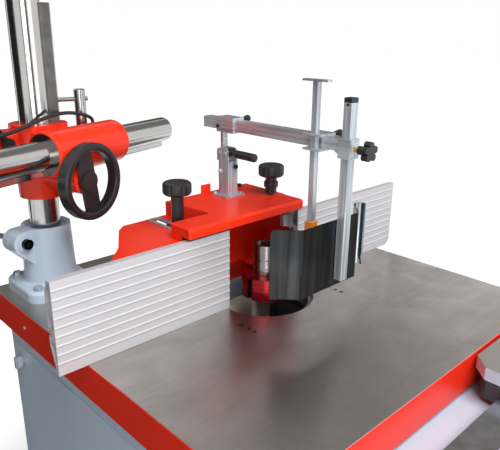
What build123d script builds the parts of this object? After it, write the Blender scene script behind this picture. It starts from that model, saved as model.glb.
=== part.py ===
from build123d import *
import os
from math import atan2, cos, degrees, pi, radians, sin, sqrt, tan

# Spindle moulder with sliding table and feeder stand.
# Millimetres. Origin on the floor under the spindle axis, X to the right along the fence,
# Y to the back, Z up. Heights named *_Z are measured from the table top unless said otherwise.

# Stand
TABLE_TOP = 870.0
BASE_PLATE = 6.0
BASE_WALL = 4.0
BASE_HEIGHT = 60.0
CABINET_X = 880.0
CABINET_Y = 790.0
SHEET = 3.0
ANCHOR_HOLE_R = 7.0
ANCHOR_LUG_X = 70.0
ANCHOR_LUG_Y = 60.0
DOOR_GAP = 0.5
DOOR_FRONT = -300.0
DOOR_BACK = 370.0
DOOR_LOW = 150.0
DOOR_HIGH = 760.0
DOOR_LAP = 18.0
HINGE_PIN_R = 4.0
HINGE_KNUCKLE_R = 7.0
HINGE_LENGTH = 90.0
HINGE_INSET = 70.0
LATCH_R = 14.0
LATCH_SHAFT_R = 6.0
LATCH_Z = -146.0
LATCH_INSET = 30.0
LATCH_DISC = 6.0
LATCH_GRIP = 12.0
LATCH_GRIP_WIDTH = 7.0
LATCH_TONGUE = 42.0

# Clearances
RUNNING = 0.05
SLIDING = 0.3
GAP = 0.5

# Table
TABLE_X = 900.0
TABLE_Y = 910.0
TABLE_PLATE = 22.0
TABLE_DEPTH = 75.0
TABLE_WALL = 22.0
TABLE_RIB = 14.0
TABLE_RIB_X = 120.0
TABLE_CORNER_R = 6.0
TABLE_EDGE = 1.5
OPENING_R = 111.0
LEDGE_R = 101.0
LEDGE_DEPTH = 10.0
BOSS_R = 150.0
BOSS_DEPTH = 45.0
FIXING_X = 141.0
FIXING_Y = (-73.0, -96.0, -113.0)
FIXING_R = (6.5, 4.25, 4.25)

# Spindle and quill
GUIDE_R = 66.0
GUIDE_TOP = -140.0
GUIDE_BOTTOM = -290.0
GUIDE_FLANGE = 16.0
GUIDE_WALL = 10.0
QUILL_R = 50.0
QUILL_TOP = -120.0
QUILL_BOTTOM = -360.0
BEARING_WIDTH = 24.0
SHAFT_R = 20.0
SHAFT_RELIEF = 4.0
COLLAR_R = 31.0
COLLAR_LENGTH = 120.0
ARBOR_R = 15.0
HEAD_R = 54.5
HEAD_LOW = 6.0
HEAD_HEIGHT = 50.0
HEAD_POCKETS = 4
HEAD_POCKET = 15.0
KNIFE_THICK = 3.0
KNIFE_PROUD = 1.0
KNIFE_MARGIN = 2.0
WEDGE_THICK = 9.0
RING_HEIGHTS = (16.0, 20.0, 34.0)
RING_R = 27.0
RING_EDGE = 1.2
RECESS_R = 21.0
RECESS_DEPTH = 12.0
SCREW_HEAD_R = 12.0
SCREW_HEAD = 9.0
SCREW_SUNK = 1.0
SOCKET_R = 6.5

# Drive
PULLEY_Z = -425.0
PULLEY_WIDTH = 34.0
PULLEY_FLANGE = 4.0
PULLEY_LIP = 5.0
SPINDLE_PULLEY_R = 45.0
MOTOR_PULLEY_R = 70.0
PULLEY_BORE_R = 18.0
BELT_THICK = 5.0
MOTOR_Y = 265.0
MOTOR_R = 88.0
MOTOR_HEIGHT = 230.0
MOTOR_FIN = 9.0
MOTOR_FINS = 20
MOTOR_FIN_THICK = 3.0
MOTOR_SHAFT_R = 14.0
TERMINAL_BOX = (40.0, 90.0, 90.0)
TERMINAL_LOW = 60.0
BRACKET_THICK = 14.0
BRACKET_R = 68.0

# Height setting
SCREW_Y = -120.0
LEAD_R = 9.0
LEAD_LENGTH = 300.0
NUT_R = 22.0
NUT_HEIGHT = 40.0
GEARBOX_SIZE = 62.0
GEARBOX_Z = -245.0
CRANK_SHAFT_R = 10.0
CRANK_WHEEL_R = 80.0
CRANK_RIM_R = 10.0
CRANK_HUB_R = 20.0
CRANK_SPOKES = 3
CRANK_REACH = 30.0
CRANK_SPOKE_R = 8.0

# Switch box
SWITCH_X = -290.0
SWITCH_Z = -270.0
SWITCH_WIDTH = 90.0
SWITCH_DEPTH = 60.0
SWITCH_HEIGHT = 160.0
SWITCH_CORNER = 10.0
SWITCH_EDGE = 4.0
BUTTON_R = 14.0
STOP_HEAD_R = 20.0
BUTTON_TRAVEL = 5.0
BUTTON_PITCH = 70.0
BUTTON_HEAD = 7.0
BUTTON_CROWN = 3.0
START_PROUD = 6.0
STOP_PROUD = 8.0

# Sliding table
SLIDE_LEFT = 79.0
SLIDE_LENGTH = 640.0
SLIDE_WIDTH = 252.0
SLIDE_THICK = 26.0
SLIDE_CORNER = 30.0
SLIDE_GAP = 8.0
SLOT_MOUTH = 12.0
SLOT_HEAD = 20.0
SLOT_DEPTH = 16.0
CARRIAGE_BACK = -475.0
CARRIAGE_WIDTH = 165.0
CARRIAGE_DEPTH = 48.0
CARRIAGE_WALL = 18.0
CARRIAGE_INSET = 16.0
RAIL_LEFT = -440.0
RAIL_LENGTH = 1120.0
RAIL_WIDTH = 60.0
RAIL_HEAD_R = 14.0
RAIL_STEM = 12.0
BEAM_BACK = -440.0
BEAM_FRONT = -645.0
BEAM_DEPTH = 80.0
BEAM_WALL = 5.0
BEAM_ARM_X = (-300.0, 340.0)
BEAM_ARM_WIDTH = 90.0

# Fence
BOARD_LENGTH = 398.0
BOARD_HEIGHT = 180.0
BOARD_THICK = 25.0
BOARD_GAP = 108.0
BOARD_LIFT = 0.5
BOARD_CAP = 15.0
BOARD_CAP_RUN = 22.0
BOARD_HEEL = 5.0
BOARD_HEEL_RUN = 52.0
BEAD_COUNT = 9
BEAD_FIRST = 23.0
BEAD_WIDTH = 6.0
BEAD_DEPTH = 1.2
BOARD_SKIN = 3.5
BOARD_CORNER = 12.0
BOARD_SLOTS = (77.0, 126.0)
BOARD_MOUTH = 10.0
BOARD_CHANNEL = 18.0
BOARD_CHANNEL_DEPTH = 7.0
BOARD_LIP = 3.5
CARRIER_THICK = 12.0
CARRIER_FAR = 330.0
CARRIER_TOP = 168.0
CARRIER_FOOT = 70.0
CARRIER_NOTCH_R = 40.0
CARRIER_BAND = 28.0
CARRIER_INSET = 24.0
HOOD_TOP = 207.0
HOOD_SIDE = 120.0
HOOD_LEFT_FRONT = -115.0
HOOD_LEFT_BACK = -133.0
HOOD_BACK = 194.0
HOOD_FRONT = -4.0
HOOD_LIP = 21.0
HOOD_BEND = 7.0
STRIP_END = -217.0
STRIP_BACK = 57.0
WING_TOP = 175.0
WING_END = -378.0
WING_FLANGE = 26.0
WING_NECK = (49.0, 53.0)
WING_KNEE = (104.0, 27.0)
WING_HEEL = (128.0, 5.0)
HOOD_FOOT = 24.0
SPOUT_R = 60.0
SPOUT_WALL = 2.5
SPOUT_LENGTH = 70.0
SPOUT_FLANGE_R = 74.0
SPOUT_Z = 105.0
TAB_X = -15.0
TAB_WIDTH = 28.0
TAB_HEIGHT = 20.0
KNOB_R = 30.5
KNOB_LOBES = 7
KNOB_LOBE_R = 5.5
KNOB_HEIGHT = 28.0
KNOB_BASE = 252.0
KNOB_NECK_R = 13.5
KNOB_STUD_R = 6.0
KNOB_COLLAR_R = 17.0
KNOB_COLLAR = 12.0
LEFT_KNOB = (-174.0, 92.0)
RIGHT_KNOB = (93.0, 78.0)
WING_SLOT = 16.0
WING_SLOT_BACK = 178.0
SLOT_PLATE_MARGIN = 9.0
SLOT_PLATE = 2.5

# Hold-down and guard
UPRIGHT_X = 30.0
UPRIGHT_Y = 33.0
UPRIGHT_CENTRE = (14.0, 143.5)
UPRIGHT_TOP = 290.0
UPRIGHT_WALL = 3.0
UPRIGHT_FOOT = 4.0
UPRIGHT_FOOT_X = 58.0
UPRIGHT_FOOT_Y = 52.0
EAR_TOP = 320.0
SWING_Y = 157.0
SWING_Z = 309.0
HANDLE_Y = 137.0
HANDLE_Z = 309.0
PIN_R = 4.0
EYE_R = 9.0
RISER_X = 15.0
RISER_Y = 8.0
ARM_SIDE = 25.0
ARM_WALL = 2.5
ARM_Z = 375.5
ARM_BACK = 216.0
ARM_SLEEVE_WALL = 4.5
ARM_SLEEVE_FRONT = 108.0
ARM_SLEEVE_BACK = 164.0
HANDLE_LENGTH = 85.0
HANDLE_R = 9.5
LEVER_HUB_R = 10.5
LEVER_HUB = 18.0
LEVER_R = 8.0
LEVER_REACH = 32.0
LEVER_RISE = 14.0
ARM_LEVER_Y = 140.0
BAR_LEVER_Y = -126.0
BAR_SIDE = 12.0
BAR_X = -8.0
BAR_Y = -136.0
BAR_TOP = 494.0
BAR_LOW = 205.0
BAR_CAP_LENGTH = 62.0
BAR_CAP_WIDTH = 16.0
BAR_CAP = 4.0
BRACKET_PLATE = 4.0
BRACKET_WIDTH = 42.0
PAD_SIDE = 20.0
PAD_HEIGHT = 46.0
PAD_SEAT = 8.0
POST_SIDE = 20.0
POST_WALL = 2.0
POST_Y = -201.0
POST_LOW = 100.0
POST_TOP = 455.0
POST_CAP = 9.0
POST_CAP_PLUG = 12.0
SLEEVE_WALL = 4.0
SLEEVE_LOW = 350.0
SLEEVE_TOP = 388.0
GUSSET = 24.0
STAR_R = 17.0
STAR_ARMS = 5
STAR_THICK = 14.0
STAR_STUD_R = 4.0
STAR_STUD = 11.0
STAR_LOBE_R = 7.1
PLATE_THICK = 2.0
PLATE_LOW = 84.0
PLATE_TOP = 226.0
PLATE_CORNER = 8.0
PLATE_LEFT = -94.0
PLATE_RIGHT = 78.0
PLATE_WING = 60.0
PLATE_BEND = 8.0
PLATE_CURL = 14.0
PLATE_CURL_TURN = 150.0

# Feeder stand
COLUMN_X = -341.0
COLUMN_Y = 373.0
COLUMN_R = 33.0
COLUMN_FOOT = 6.0
COLUMN_TOP = 640.0
STAND_SIDE = 162.0
STAND_CORNER = 34.0
STAND_FLANGE = 26.0
STAND_EDGE = 8.0
STAND_FLARE = 7.0
STAND_TOP = 158.0
STAND_FOOT_R = 59.0
STAND_NECK_R = 54.0
STAND_RECESS_R = 46.0
STAND_RECESS = 12.0
STAND_BOLT = 57.0
STAND_BOLT_R = 6.0
EAR_TURN = 190.0
EAR_REACH = 97.0
EAR_WIDTH = 46.0
EAR_R = 26.0
EAR_Z = 132.0
EAR_PAD_R = 19.0
EAR_PAD = 4.0
EAR_SLIT = 4.0
PINCH_R = 8.0
PINCH_HEAD_R = 11.5
PINCH_HEAD = 10.0
PINCH_HUB = 16.0
PINCH_LEVER = (66.0, 34.0)
PINCH_LEVER_R = (6.2, 7.4)
PINCH_BALL_R = 8.8
ARM_TURN = 18.0
FEEDER_ARM_R = 30.5
FEEDER_ARM_WALL = 6.0
FEEDER_ARM_Z = 333.0
FEEDER_ARM_OFFSET = 85.0
FEEDER_ARM_LEFT = -290.0
FEEDER_ARM_RIGHT = 342.0
RACK_MODULE = 1.25
ARM_RACK_WIDTH = 15.0
ARM_RACK_DEPTH = 11.0
ARM_RACK_END = 14.0
COLUMN_RACK_WIDTH = 24.0
RACK_TURN = -16.0
RACK_PITCH_R = 51.0
RACK_SEAT_R = 30.0
RACK_LOW = 235.0
RACK_HIGH = 632.0
LIFT_TEETH = 16
LIFT_Z = 300.0
LIFT_CASE_R = 20.0
LIFT_CASE_BACK = 46.0
LIFT_HEX = 7.0
LIFT_HEX_LENGTH = 24.0
PINION_TEETH = 30
PINION_LENGTH = 18.0
PINION_SHAFT_R = 8.0
WHEEL_S = 0.0
WHEEL_R = 82.0
WHEEL_RIM = 17.0
WHEEL_DEPTH = 27.5
WHEEL_FRONT = 77.0
WHEEL_HUB_R = 22.0
WHEEL_WEB = 40.0
WHEEL_WEB_THICK = 8.0
WHEEL_WEB_TURN = 98.0
RACK_HOUSING = 66.0
RACK_HOUSING_WIDTH = 48.0
SLEEVE_V_LOW = 225.0
SLEEVE_V_TOP = 385.0
SLEEVE_V_LOW_R = 48.0
SLEEVE_V_TOP_R = 55.0
SLEEVE_H_R = 48.0
SLEEVE_H_LEFT = -61.0
SLEEVE_H_RIGHT = 151.0
PINION_CASE_R = 30.0
PINCH_S = 110.0
PINCH_B = 57.0
PINCH_BOSS_R = 19.0
LOCK_SCREW_R = 12.5
LOCK_STEM_R = 7.5
LOCK_SCREW_TOP = 450.0
TOMMY_R = 5.0
TOMMY_REACH = 62.0
TOMMY_Z = 428.0
TOMMY_TURN = -30.0
SIDE_EAR_REACH = 92.0
SIDE_EAR_WIDTH = 44.0
SIDE_EAR_HEIGHT = 46.0
SIDE_EAR_Z = 352.0
SIDE_BOLT_X = -74.0
SIDE_BOLT_R = 6.0
SIDE_HUB_R = 12.0
SIDE_HUB = 16.0
SIDE_LEVER = (28.0, 37.0)
SIDE_LEVER_R = 8.0
LEAD_CABLE_R = 4.0
CONNECTOR_R = 11.0
CONNECTOR_LENGTH = 42.0
CLIP_R = 7.0
CLIP_WIDTH = 6.0
CLIP_RUN = 8
CLIP_SHARE = 0.55
CLIP_FOOT = (140.0, 44.0, 15.0)

# Route of the feeder lead over the cross clamp, from the left connector to the right one.
LEAD_ROUTE = (
    (-520.0, 232.0, 384.0),
    (-478.0, 276.0, 381.0),
    (-436.0, 312.0, 375.0),
    (-394.0, 322.0, 383.0),
    (-345.0, 319.0, 401.0),
    (-300.0, 322.0, 409.0),
    (-254.0, 334.0, 402.0),
    (-216.0, 354.0, 388.0),
    (-197.0, 383.0, 370.0),
    (-196.0, 399.0, 338.0),
    (-196.0, 398.0, 310.0),
)

os.makedirs("parts", exist_ok=True)
deck = Pos(0, 0, TABLE_TOP)
ROUND_MIN = (Align.CENTER, Align.CENTER, Align.MIN)


def block(x, y, z):
    """A box from its low and high X, Y and Z."""
    size = [high - low for low, high in (x, y, z)]
    middle = [(high + low) / 2 for low, high in (x, y, z)]
    return Pos(*middle) * Box(*size)


def rod(start, end, radius, end_radius=None):
    """A round bar, or a taper, from one point to another."""
    start, end = Vector(*start), Vector(*end)
    along = end - start
    plane = Plane(origin=start, z_dir=along)
    if end_radius is None:
        return plane * Cylinder(radius, along.length, align=ROUND_MIN)
    return plane * Cone(radius, end_radius, along.length, align=ROUND_MIN)


def upright(radius, low, high, x=0.0, y=0.0):
    """A vertical round bar."""
    return rod((x, y, low), (x, y, high), radius)


def turned(profile):
    """A solid of revolution about Z from (radius, height) points."""
    face = make_face(Polyline(*[(r, 0, z) for r, z in profile], close=True))
    return revolve(face, Axis.Z, 360)


def square_tube(centre, side, wall, low, high):
    """A vertical square tube about an X, Y centre."""
    x, y = centre
    outer = Pos(x, y, low) * extrude(RectangleRounded(side, side, wall), high - low)
    bore = side - 2 * wall
    return outer - Pos(x, y, low) * extrude(Rectangle(bore, bore), high - low)


def save(node, *solids):
    """Writes one sub-part, raised from table-top heights to the floor frame."""
    shape = solids[0] if len(solids) == 1 else Compound(children=list(solids))
    export_step(deck * shape, f"parts/{node}.step")


# Stand: floor frame with anchor lugs, sheet cabinet, hinged side door.
FLOOR = -TABLE_TOP
HALF_X = CABINET_X / 2
HALF_Y = CABINET_Y / 2
ANCHOR_X = HALF_X - ANCHOR_LUG_X / 2
ANCHOR_Y = HALF_Y + ANCHOR_LUG_Y / 2
CABINET_LOW = FLOOR + BASE_HEIGHT
CABINET_HIGH = -TABLE_DEPTH


def base_frame():
    plate = block((-HALF_X, HALF_X), (-HALF_Y, HALF_Y), (FLOOR, FLOOR + BASE_PLATE))
    wall = block((-HALF_X, HALF_X), (-HALF_Y, HALF_Y), (FLOOR, CABINET_LOW))
    inner_x = HALF_X - BASE_WALL
    inner_y = HALF_Y - BASE_WALL
    wall -= block((-inner_x, inner_x), (-inner_y, inner_y), (FLOOR + BASE_PLATE, CABINET_LOW))
    frame = plate + wall
    for sx in (-1, 1):
        for sy in (-1, 1):
            lug = Box(ANCHOR_LUG_X, ANCHOR_LUG_Y, BASE_PLATE, align=ROUND_MIN)
            lug -= Cylinder(ANCHOR_HOLE_R, BASE_PLATE, align=ROUND_MIN)
            frame += Pos(sx * ANCHOR_X, sy * ANCHOR_Y, FLOOR) * lug
    return frame


def cabinet():
    inner_x = HALF_X - SHEET
    inner_y = HALF_Y - SHEET
    shell = block((-HALF_X, HALF_X), (-HALF_Y, HALF_Y), (CABINET_LOW, CABINET_HIGH))
    shell -= block((-inner_x, inner_x), (-inner_y, inner_y), (CABINET_LOW, CABINET_HIGH))
    doorway_y = (DOOR_FRONT + DOOR_LAP, DOOR_BACK - DOOR_LAP)
    doorway_z = (FLOOR + DOOR_LOW + DOOR_LAP, FLOOR + DOOR_HIGH - DOOR_LAP)
    shell -= block((-HALF_X - SHEET, -inner_x + SHEET), doorway_y, doorway_z)
    shaft_hole = rod((0, -HALF_Y - SHEET, GEARBOX_Z), (0, -inner_y + SHEET, GEARBOX_Z), CRANK_SHAFT_R + GAP)
    return shell - shaft_hole


DOOR_X = -HALF_X - DOOR_GAP
PIN_X = DOOR_X - SHEET / 2 - HINGE_KNUCKLE_R
HINGE_Y = DOOR_FRONT - HINGE_KNUCKLE_R
HINGE_Z = (FLOOR + DOOR_LOW + HINGE_INSET, FLOOR + DOOR_HIGH - HINGE_INSET - HINGE_LENGTH)
LATCH_Y = DOOR_BACK - LATCH_INSET


def door():
    panel = block((DOOR_X - SHEET, DOOR_X), (DOOR_FRONT, DOOR_BACK), (FLOOR + DOOR_LOW, FLOOR + DOOR_HIGH))
    panel -= rod((DOOR_X - SHEET, LATCH_Y, LATCH_Z), (DOOR_X, LATCH_Y, LATCH_Z), LATCH_SHAFT_R + RUNNING)
    third = HINGE_LENGTH / 3
    for low in HINGE_Z:
        span = (low + third, low + 2 * third)
        knuckle = upright(HINGE_KNUCKLE_R, *span, PIN_X, HINGE_Y)
        leaf = block((PIN_X, DOOR_X), (HINGE_Y, DOOR_FRONT + DOOR_LAP), span)
        relief_x = (PIN_X - HINGE_KNUCKLE_R, DOOR_X - SHEET - HINGE_PIN_R)
        leaf -= block(relief_x, (HINGE_Y - GAP, DOOR_BACK), span)
        panel += knuckle + leaf
        panel -= upright(HINGE_PIN_R + RUNNING, *span, PIN_X, HINGE_Y)
    return panel


def door_hinges():
    solids = []
    third = HINGE_LENGTH / 3
    for low in HINGE_Z:
        hinge = upright(HINGE_PIN_R, low, low + HINGE_LENGTH, PIN_X, HINGE_Y)
        for start in (low, low + 2 * third + SLIDING):
            span = (start, start + third - SLIDING)
            hinge += upright(HINGE_KNUCKLE_R, *span, PIN_X, HINGE_Y)
            hinge += block((PIN_X, -HALF_X), (HINGE_Y - DOOR_LAP, HINGE_Y), span)
        solids.append(hinge)
    return solids


def door_latch():
    out = DOOR_X - SHEET - SLIDING
    face = out - LATCH_DISC
    latch = rod((out, LATCH_Y, LATCH_Z), (face, LATCH_Y, LATCH_Z), LATCH_R)
    grip_y = (LATCH_Y - LATCH_GRIP_WIDTH / 2, LATCH_Y + LATCH_GRIP_WIDTH / 2)
    latch += block((face - LATCH_GRIP, face), grip_y, (LATCH_Z - LATCH_R, LATCH_Z + LATCH_R))
    inside = -HALF_X + SHEET + SLIDING
    latch += rod((out, LATCH_Y, LATCH_Z), (inside + SHEET, LATCH_Y, LATCH_Z), LATCH_SHAFT_R)
    tongue_y = (LATCH_Y - LATCH_SHAFT_R, LATCH_Y + LATCH_SHAFT_R)
    tongue_z = (LATCH_Z - LATCH_SHAFT_R - LATCH_TONGUE, LATCH_Z + LATCH_SHAFT_R)
    return latch + block((inside, inside + SHEET), tongue_y, tongue_z)


# Table: ribbed casting with ground top, stepped spindle opening and tapped fixing holes.
def table():
    half_x, half_y = TABLE_X / 2, TABLE_Y / 2
    top = Pos(0, 0, -TABLE_DEPTH) * extrude(RectangleRounded(TABLE_X, TABLE_Y, TABLE_CORNER_R), TABLE_DEPTH)
    hollow_x, hollow_y = half_x - TABLE_WALL, half_y - TABLE_WALL
    top -= block((-hollow_x, hollow_x), (-hollow_y, hollow_y), (-TABLE_DEPTH, -TABLE_PLATE))
    rib = TABLE_RIB / 2
    for sign in (-1, 1):
        seat = sign * (HALF_Y - rib)
        top += block((-hollow_x, hollow_x), (seat - rib, seat + rib), (-TABLE_DEPTH, -TABLE_PLATE))
        rib_x = (sign * TABLE_RIB_X - rib, sign * TABLE_RIB_X + rib)
        rib_y = (sign * BOSS_R - rib, sign * BOSS_R + rib)
        top += block(rib_x, (-hollow_y, hollow_y), (-BOSS_DEPTH, -TABLE_PLATE))
        top += block((-hollow_x, hollow_x), rib_y, (-BOSS_DEPTH, -TABLE_PLATE))
    top += upright(BOSS_R, -BOSS_DEPTH, -TABLE_PLATE)
    top -= upright(LEDGE_R, -BOSS_DEPTH, 0)
    top -= upright(OPENING_R, -LEDGE_DEPTH, 0)
    for sign in (-1, 1):
        for y, radius in zip(FIXING_Y, FIXING_R):
            top -= upright(radius, -BOSS_DEPTH, 0, sign * FIXING_X, y)
    upper = top.edges().filter_by_position(Axis.Z, -GAP, GAP)
    return chamfer(upper.filter_by(lambda e: e.length > OPENING_R), TABLE_EDGE)


# Spindle guide, quill, spindle and tooling.
GEARBOX_LOW = GEARBOX_Z - GEARBOX_SIZE / 2


def gear_case():
    """Housing of the height gears, cast onto the front of the guide tube."""
    half = GEARBOX_SIZE / 2
    tall = (GEARBOX_LOW, GEARBOX_LOW + GEARBOX_SIZE)
    case = block((-half, half), (SCREW_Y - half, SCREW_Y + half), tall)
    case = fillet(case.edges().filter_by(Axis.Z), half / 4)
    case += block((-half / 2, half / 2), (SCREW_Y, -QUILL_R - GUIDE_WALL), tall)
    case -= upright(LEAD_R + RUNNING, GEARBOX_LOW, GEARBOX_Z, 0, SCREW_Y)
    shaft_y = (SCREW_Y - half, SCREW_Y - LEAD_R - GAP)
    return case - rod((0, shaft_y[0], GEARBOX_Z), (0, shaft_y[1], GEARBOX_Z), CRANK_SHAFT_R + RUNNING)


def spindle_guide():
    flange = -BOSS_DEPTH - GUIDE_FLANGE
    bore = QUILL_R + RUNNING
    profile = [
        (LEDGE_R, -BOSS_DEPTH),
        (BOSS_R - GUIDE_WALL, -BOSS_DEPTH),
        (BOSS_R - GUIDE_WALL, flange),
        (LEDGE_R + GUIDE_WALL, flange),
        (GUIDE_R, GUIDE_TOP - GUIDE_WALL),
        (GUIDE_R, GUIDE_BOTTOM),
        (bore, GUIDE_BOTTOM),
        (bore, GUIDE_TOP),
        (LEDGE_R, flange),
    ]
    return turned(profile) + gear_case()


def quill():
    land = SHAFT_R + RUNNING
    inner = SHAFT_R + SHAFT_RELIEF
    profile = [
        (land, QUILL_BOTTOM),
        (QUILL_R, QUILL_BOTTOM),
        (QUILL_R, QUILL_TOP),
        (land, QUILL_TOP),
        (land, QUILL_TOP - BEARING_WIDTH),
        (inner, QUILL_TOP - BEARING_WIDTH),
        (inner, QUILL_BOTTOM + BEARING_WIDTH),
        (land, QUILL_BOTTOM + BEARING_WIDTH),
    ]
    return turned(profile)


HEAD_TOP = HEAD_LOW + HEAD_HEIGHT
STACK_TOP = HEAD_TOP + sum(RING_HEIGHTS)
ARBOR_TOP = STACK_TOP - RECESS_DEPTH
COLLAR_LOW = HEAD_LOW - COLLAR_LENGTH
PULLEY_LOW = PULLEY_Z - PULLEY_WIDTH / 2
PULLEY_HIGH = PULLEY_Z + PULLEY_WIDTH / 2


def spindle_shaft():
    profile = [
        (0, PULLEY_LOW),
        (PULLEY_BORE_R, PULLEY_LOW),
        (PULLEY_BORE_R, PULLEY_HIGH),
        (SHAFT_R, PULLEY_HIGH),
        (SHAFT_R, COLLAR_LOW),
        (COLLAR_R, COLLAR_LOW),
        (COLLAR_R, HEAD_LOW),
        (ARBOR_R, HEAD_LOW),
        (ARBOR_R, ARBOR_TOP),
        (0, ARBOR_TOP),
    ]
    return turned(profile)


def spacer_rings():
    rings = []
    low = HEAD_TOP
    for height in RING_HEIGHTS:
        high = low + height
        ring = upright(RING_R, low, high)
        ring = chamfer(ring.edges().filter_by(GeomType.CIRCLE), RING_EDGE)
        ring -= upright(ARBOR_R, low, high)
        if high >= STACK_TOP:
            ring -= upright(RECESS_R, high - RECESS_DEPTH, high)
        rings.append(ring)
        low = high
    return rings


def pocket():
    """One knife seat in the cutter head, on the +X side, open at the rim."""
    depth = HEAD_R - HEAD_POCKET
    width = KNIFE_THICK + WEDGE_THICK
    return block((depth, HEAD_R + HEAD_POCKET), (0, width), (HEAD_LOW, HEAD_TOP))


def cutter_head():
    head = upright(HEAD_R, HEAD_LOW, HEAD_TOP) - upright(ARBOR_R, HEAD_LOW, HEAD_TOP)
    for turn in range(HEAD_POCKETS):
        head -= Rot(0, 0, turn * 360 / HEAD_POCKETS) * pocket()
    return head


def cutter_knives():
    depth = HEAD_R - HEAD_POCKET
    width = KNIFE_THICK + WEDGE_THICK
    reach = sqrt(HEAD_R**2 - width**2) - KNIFE_MARGIN
    tall = (HEAD_LOW + KNIFE_MARGIN, HEAD_TOP - KNIFE_MARGIN)
    knife = block((depth, HEAD_R + KNIFE_PROUD), (0, KNIFE_THICK), tall)
    wedge = block((depth, reach), (KNIFE_THICK, width), tall)
    turns = [Rot(0, 0, turn * 360 / HEAD_POCKETS) for turn in range(HEAD_POCKETS)]
    return [turn * piece for turn in turns for piece in (knife, wedge)]


def spindle_screw():
    washer = upright(RECESS_R - GAP, ARBOR_TOP, ARBOR_TOP + RECESS_DEPTH - SCREW_HEAD)
    head = upright(SCREW_HEAD_R, ARBOR_TOP, STACK_TOP - SCREW_SUNK)
    socket = Pos(0, 0, STACK_TOP - SCREW_HEAD) * extrude(RegularPolygon(SOCKET_R, 6), SCREW_HEAD)
    return washer + head - socket


# Belt drive and motor, carried by the quill.
def pulley(radius):
    rim = radius + PULLEY_LIP
    profile = [
        (PULLEY_BORE_R, PULLEY_LOW),
        (rim, PULLEY_LOW),
        (rim, PULLEY_LOW + PULLEY_FLANGE),
        (radius, PULLEY_LOW + PULLEY_FLANGE),
        (radius, PULLEY_HIGH - PULLEY_FLANGE),
        (rim, PULLEY_HIGH - PULLEY_FLANGE),
        (rim, PULLEY_HIGH),
        (PULLEY_BORE_R, PULLEY_HIGH),
    ]
    return turned(profile)


def motor_pulley():
    shaft = upright(MOTOR_SHAFT_R, PULLEY_HIGH, QUILL_BOTTOM + MOTOR_HEIGHT / 2)
    hub = upright(PULLEY_BORE_R, PULLEY_LOW, PULLEY_HIGH)
    return Pos(0, MOTOR_Y, 0) * (pulley(MOTOR_PULLEY_R) + hub + shaft)


def belt_loop(extra):
    circles = [Circle(SPINDLE_PULLEY_R + extra), Pos(0, MOTOR_Y) * Circle(MOTOR_PULLEY_R + extra)]
    return make_hull(Sketch(children=circles).edges())


def drive_belt():
    width = PULLEY_WIDTH - 2 * PULLEY_FLANGE - 2 * GAP
    loop = belt_loop(SLIDING + BELT_THICK) - belt_loop(SLIDING)
    return Pos(0, 0, PULLEY_Z - width / 2) * extrude(loop, width)


def motor_bracket():
    plate = make_hull(Sketch(children=[Circle(BRACKET_R), Pos(0, MOTOR_Y) * Circle(MOTOR_R)]).edges())
    nut_pad = make_hull(Sketch(children=[Circle(QUILL_R), Pos(0, SCREW_Y) * Circle(NUT_R)]).edges())
    low = QUILL_BOTTOM - BRACKET_THICK
    solid = Pos(0, 0, low) * extrude(plate, BRACKET_THICK)
    solid += Pos(0, 0, low) * extrude(nut_pad, BRACKET_THICK)
    solid += upright(NUT_R, low - NUT_HEIGHT + BRACKET_THICK, QUILL_BOTTOM, 0, SCREW_Y)
    solid -= upright(SHAFT_R + SHAFT_RELIEF, low, QUILL_BOTTOM)
    solid -= upright(MOTOR_SHAFT_R + GAP, low, QUILL_BOTTOM, 0, MOTOR_Y)
    return solid - upright(LEAD_R + RUNNING, low - NUT_HEIGHT, QUILL_BOTTOM, 0, SCREW_Y)


def motor():
    high = QUILL_BOTTOM + MOTOR_HEIGHT
    body = upright(MOTOR_R - MOTOR_FIN, QUILL_BOTTOM, high)
    body += upright(MOTOR_R, QUILL_BOTTOM, QUILL_BOTTOM + GUIDE_FLANGE)
    body += upright(MOTOR_R, high - GUIDE_FLANGE, high)
    fin_x = (MOTOR_R - 2 * MOTOR_FIN, MOTOR_R - MOTOR_FIN_THICK / 2)
    fin = block(fin_x, (-MOTOR_FIN_THICK / 2, MOTOR_FIN_THICK / 2), (QUILL_BOTTOM, high))
    for turn in range(MOTOR_FINS):
        body += Rot(0, 0, turn * 360 / MOTOR_FINS) * fin
    reach, width, height = TERMINAL_BOX
    box_low = QUILL_BOTTOM + TERMINAL_LOW
    body += block((fin_x[0], MOTOR_R + reach), (-width / 2, width / 2), (box_low, box_low + height))
    bore = MOTOR_SHAFT_R + RUNNING
    body -= upright(bore, QUILL_BOTTOM, QUILL_BOTTOM + MOTOR_HEIGHT / 2)
    return Pos(0, MOTOR_Y, 0) * body


# Height setting: handwheel, mitre gears in their case and hanging lead screw.
def height_screw():
    high = GEARBOX_Z - CRANK_SHAFT_R - GAP
    return upright(LEAD_R, high - LEAD_LENGTH, high, 0, SCREW_Y)


def height_handwheel():
    wheel_y = -HALF_Y - CRANK_REACH
    shaft_end = SCREW_Y - LEAD_R - 2 * GAP
    wheel = rod((0, wheel_y - CRANK_RIM_R, GEARBOX_Z), (0, shaft_end, GEARBOX_Z), CRANK_SHAFT_R)
    wheel += rod((0, wheel_y - CRANK_RIM_R, GEARBOX_Z), (0, wheel_y + CRANK_RIM_R, GEARBOX_Z), CRANK_HUB_R)
    rim = Torus(CRANK_WHEEL_R - CRANK_RIM_R, CRANK_RIM_R)
    wheel += Pos(0, wheel_y, GEARBOX_Z) * Rot(90, 0, 0) * rim
    for turn in range(CRANK_SPOKES):
        angle = radians(90 + turn * 360 / CRANK_SPOKES)
        reach = CRANK_WHEEL_R - CRANK_RIM_R
        tip = (reach * cos(angle), wheel_y, GEARBOX_Z + reach * sin(angle))
        wheel += rod((0, wheel_y, GEARBOX_Z), tip, CRANK_SPOKE_R)
    return wheel


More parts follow.
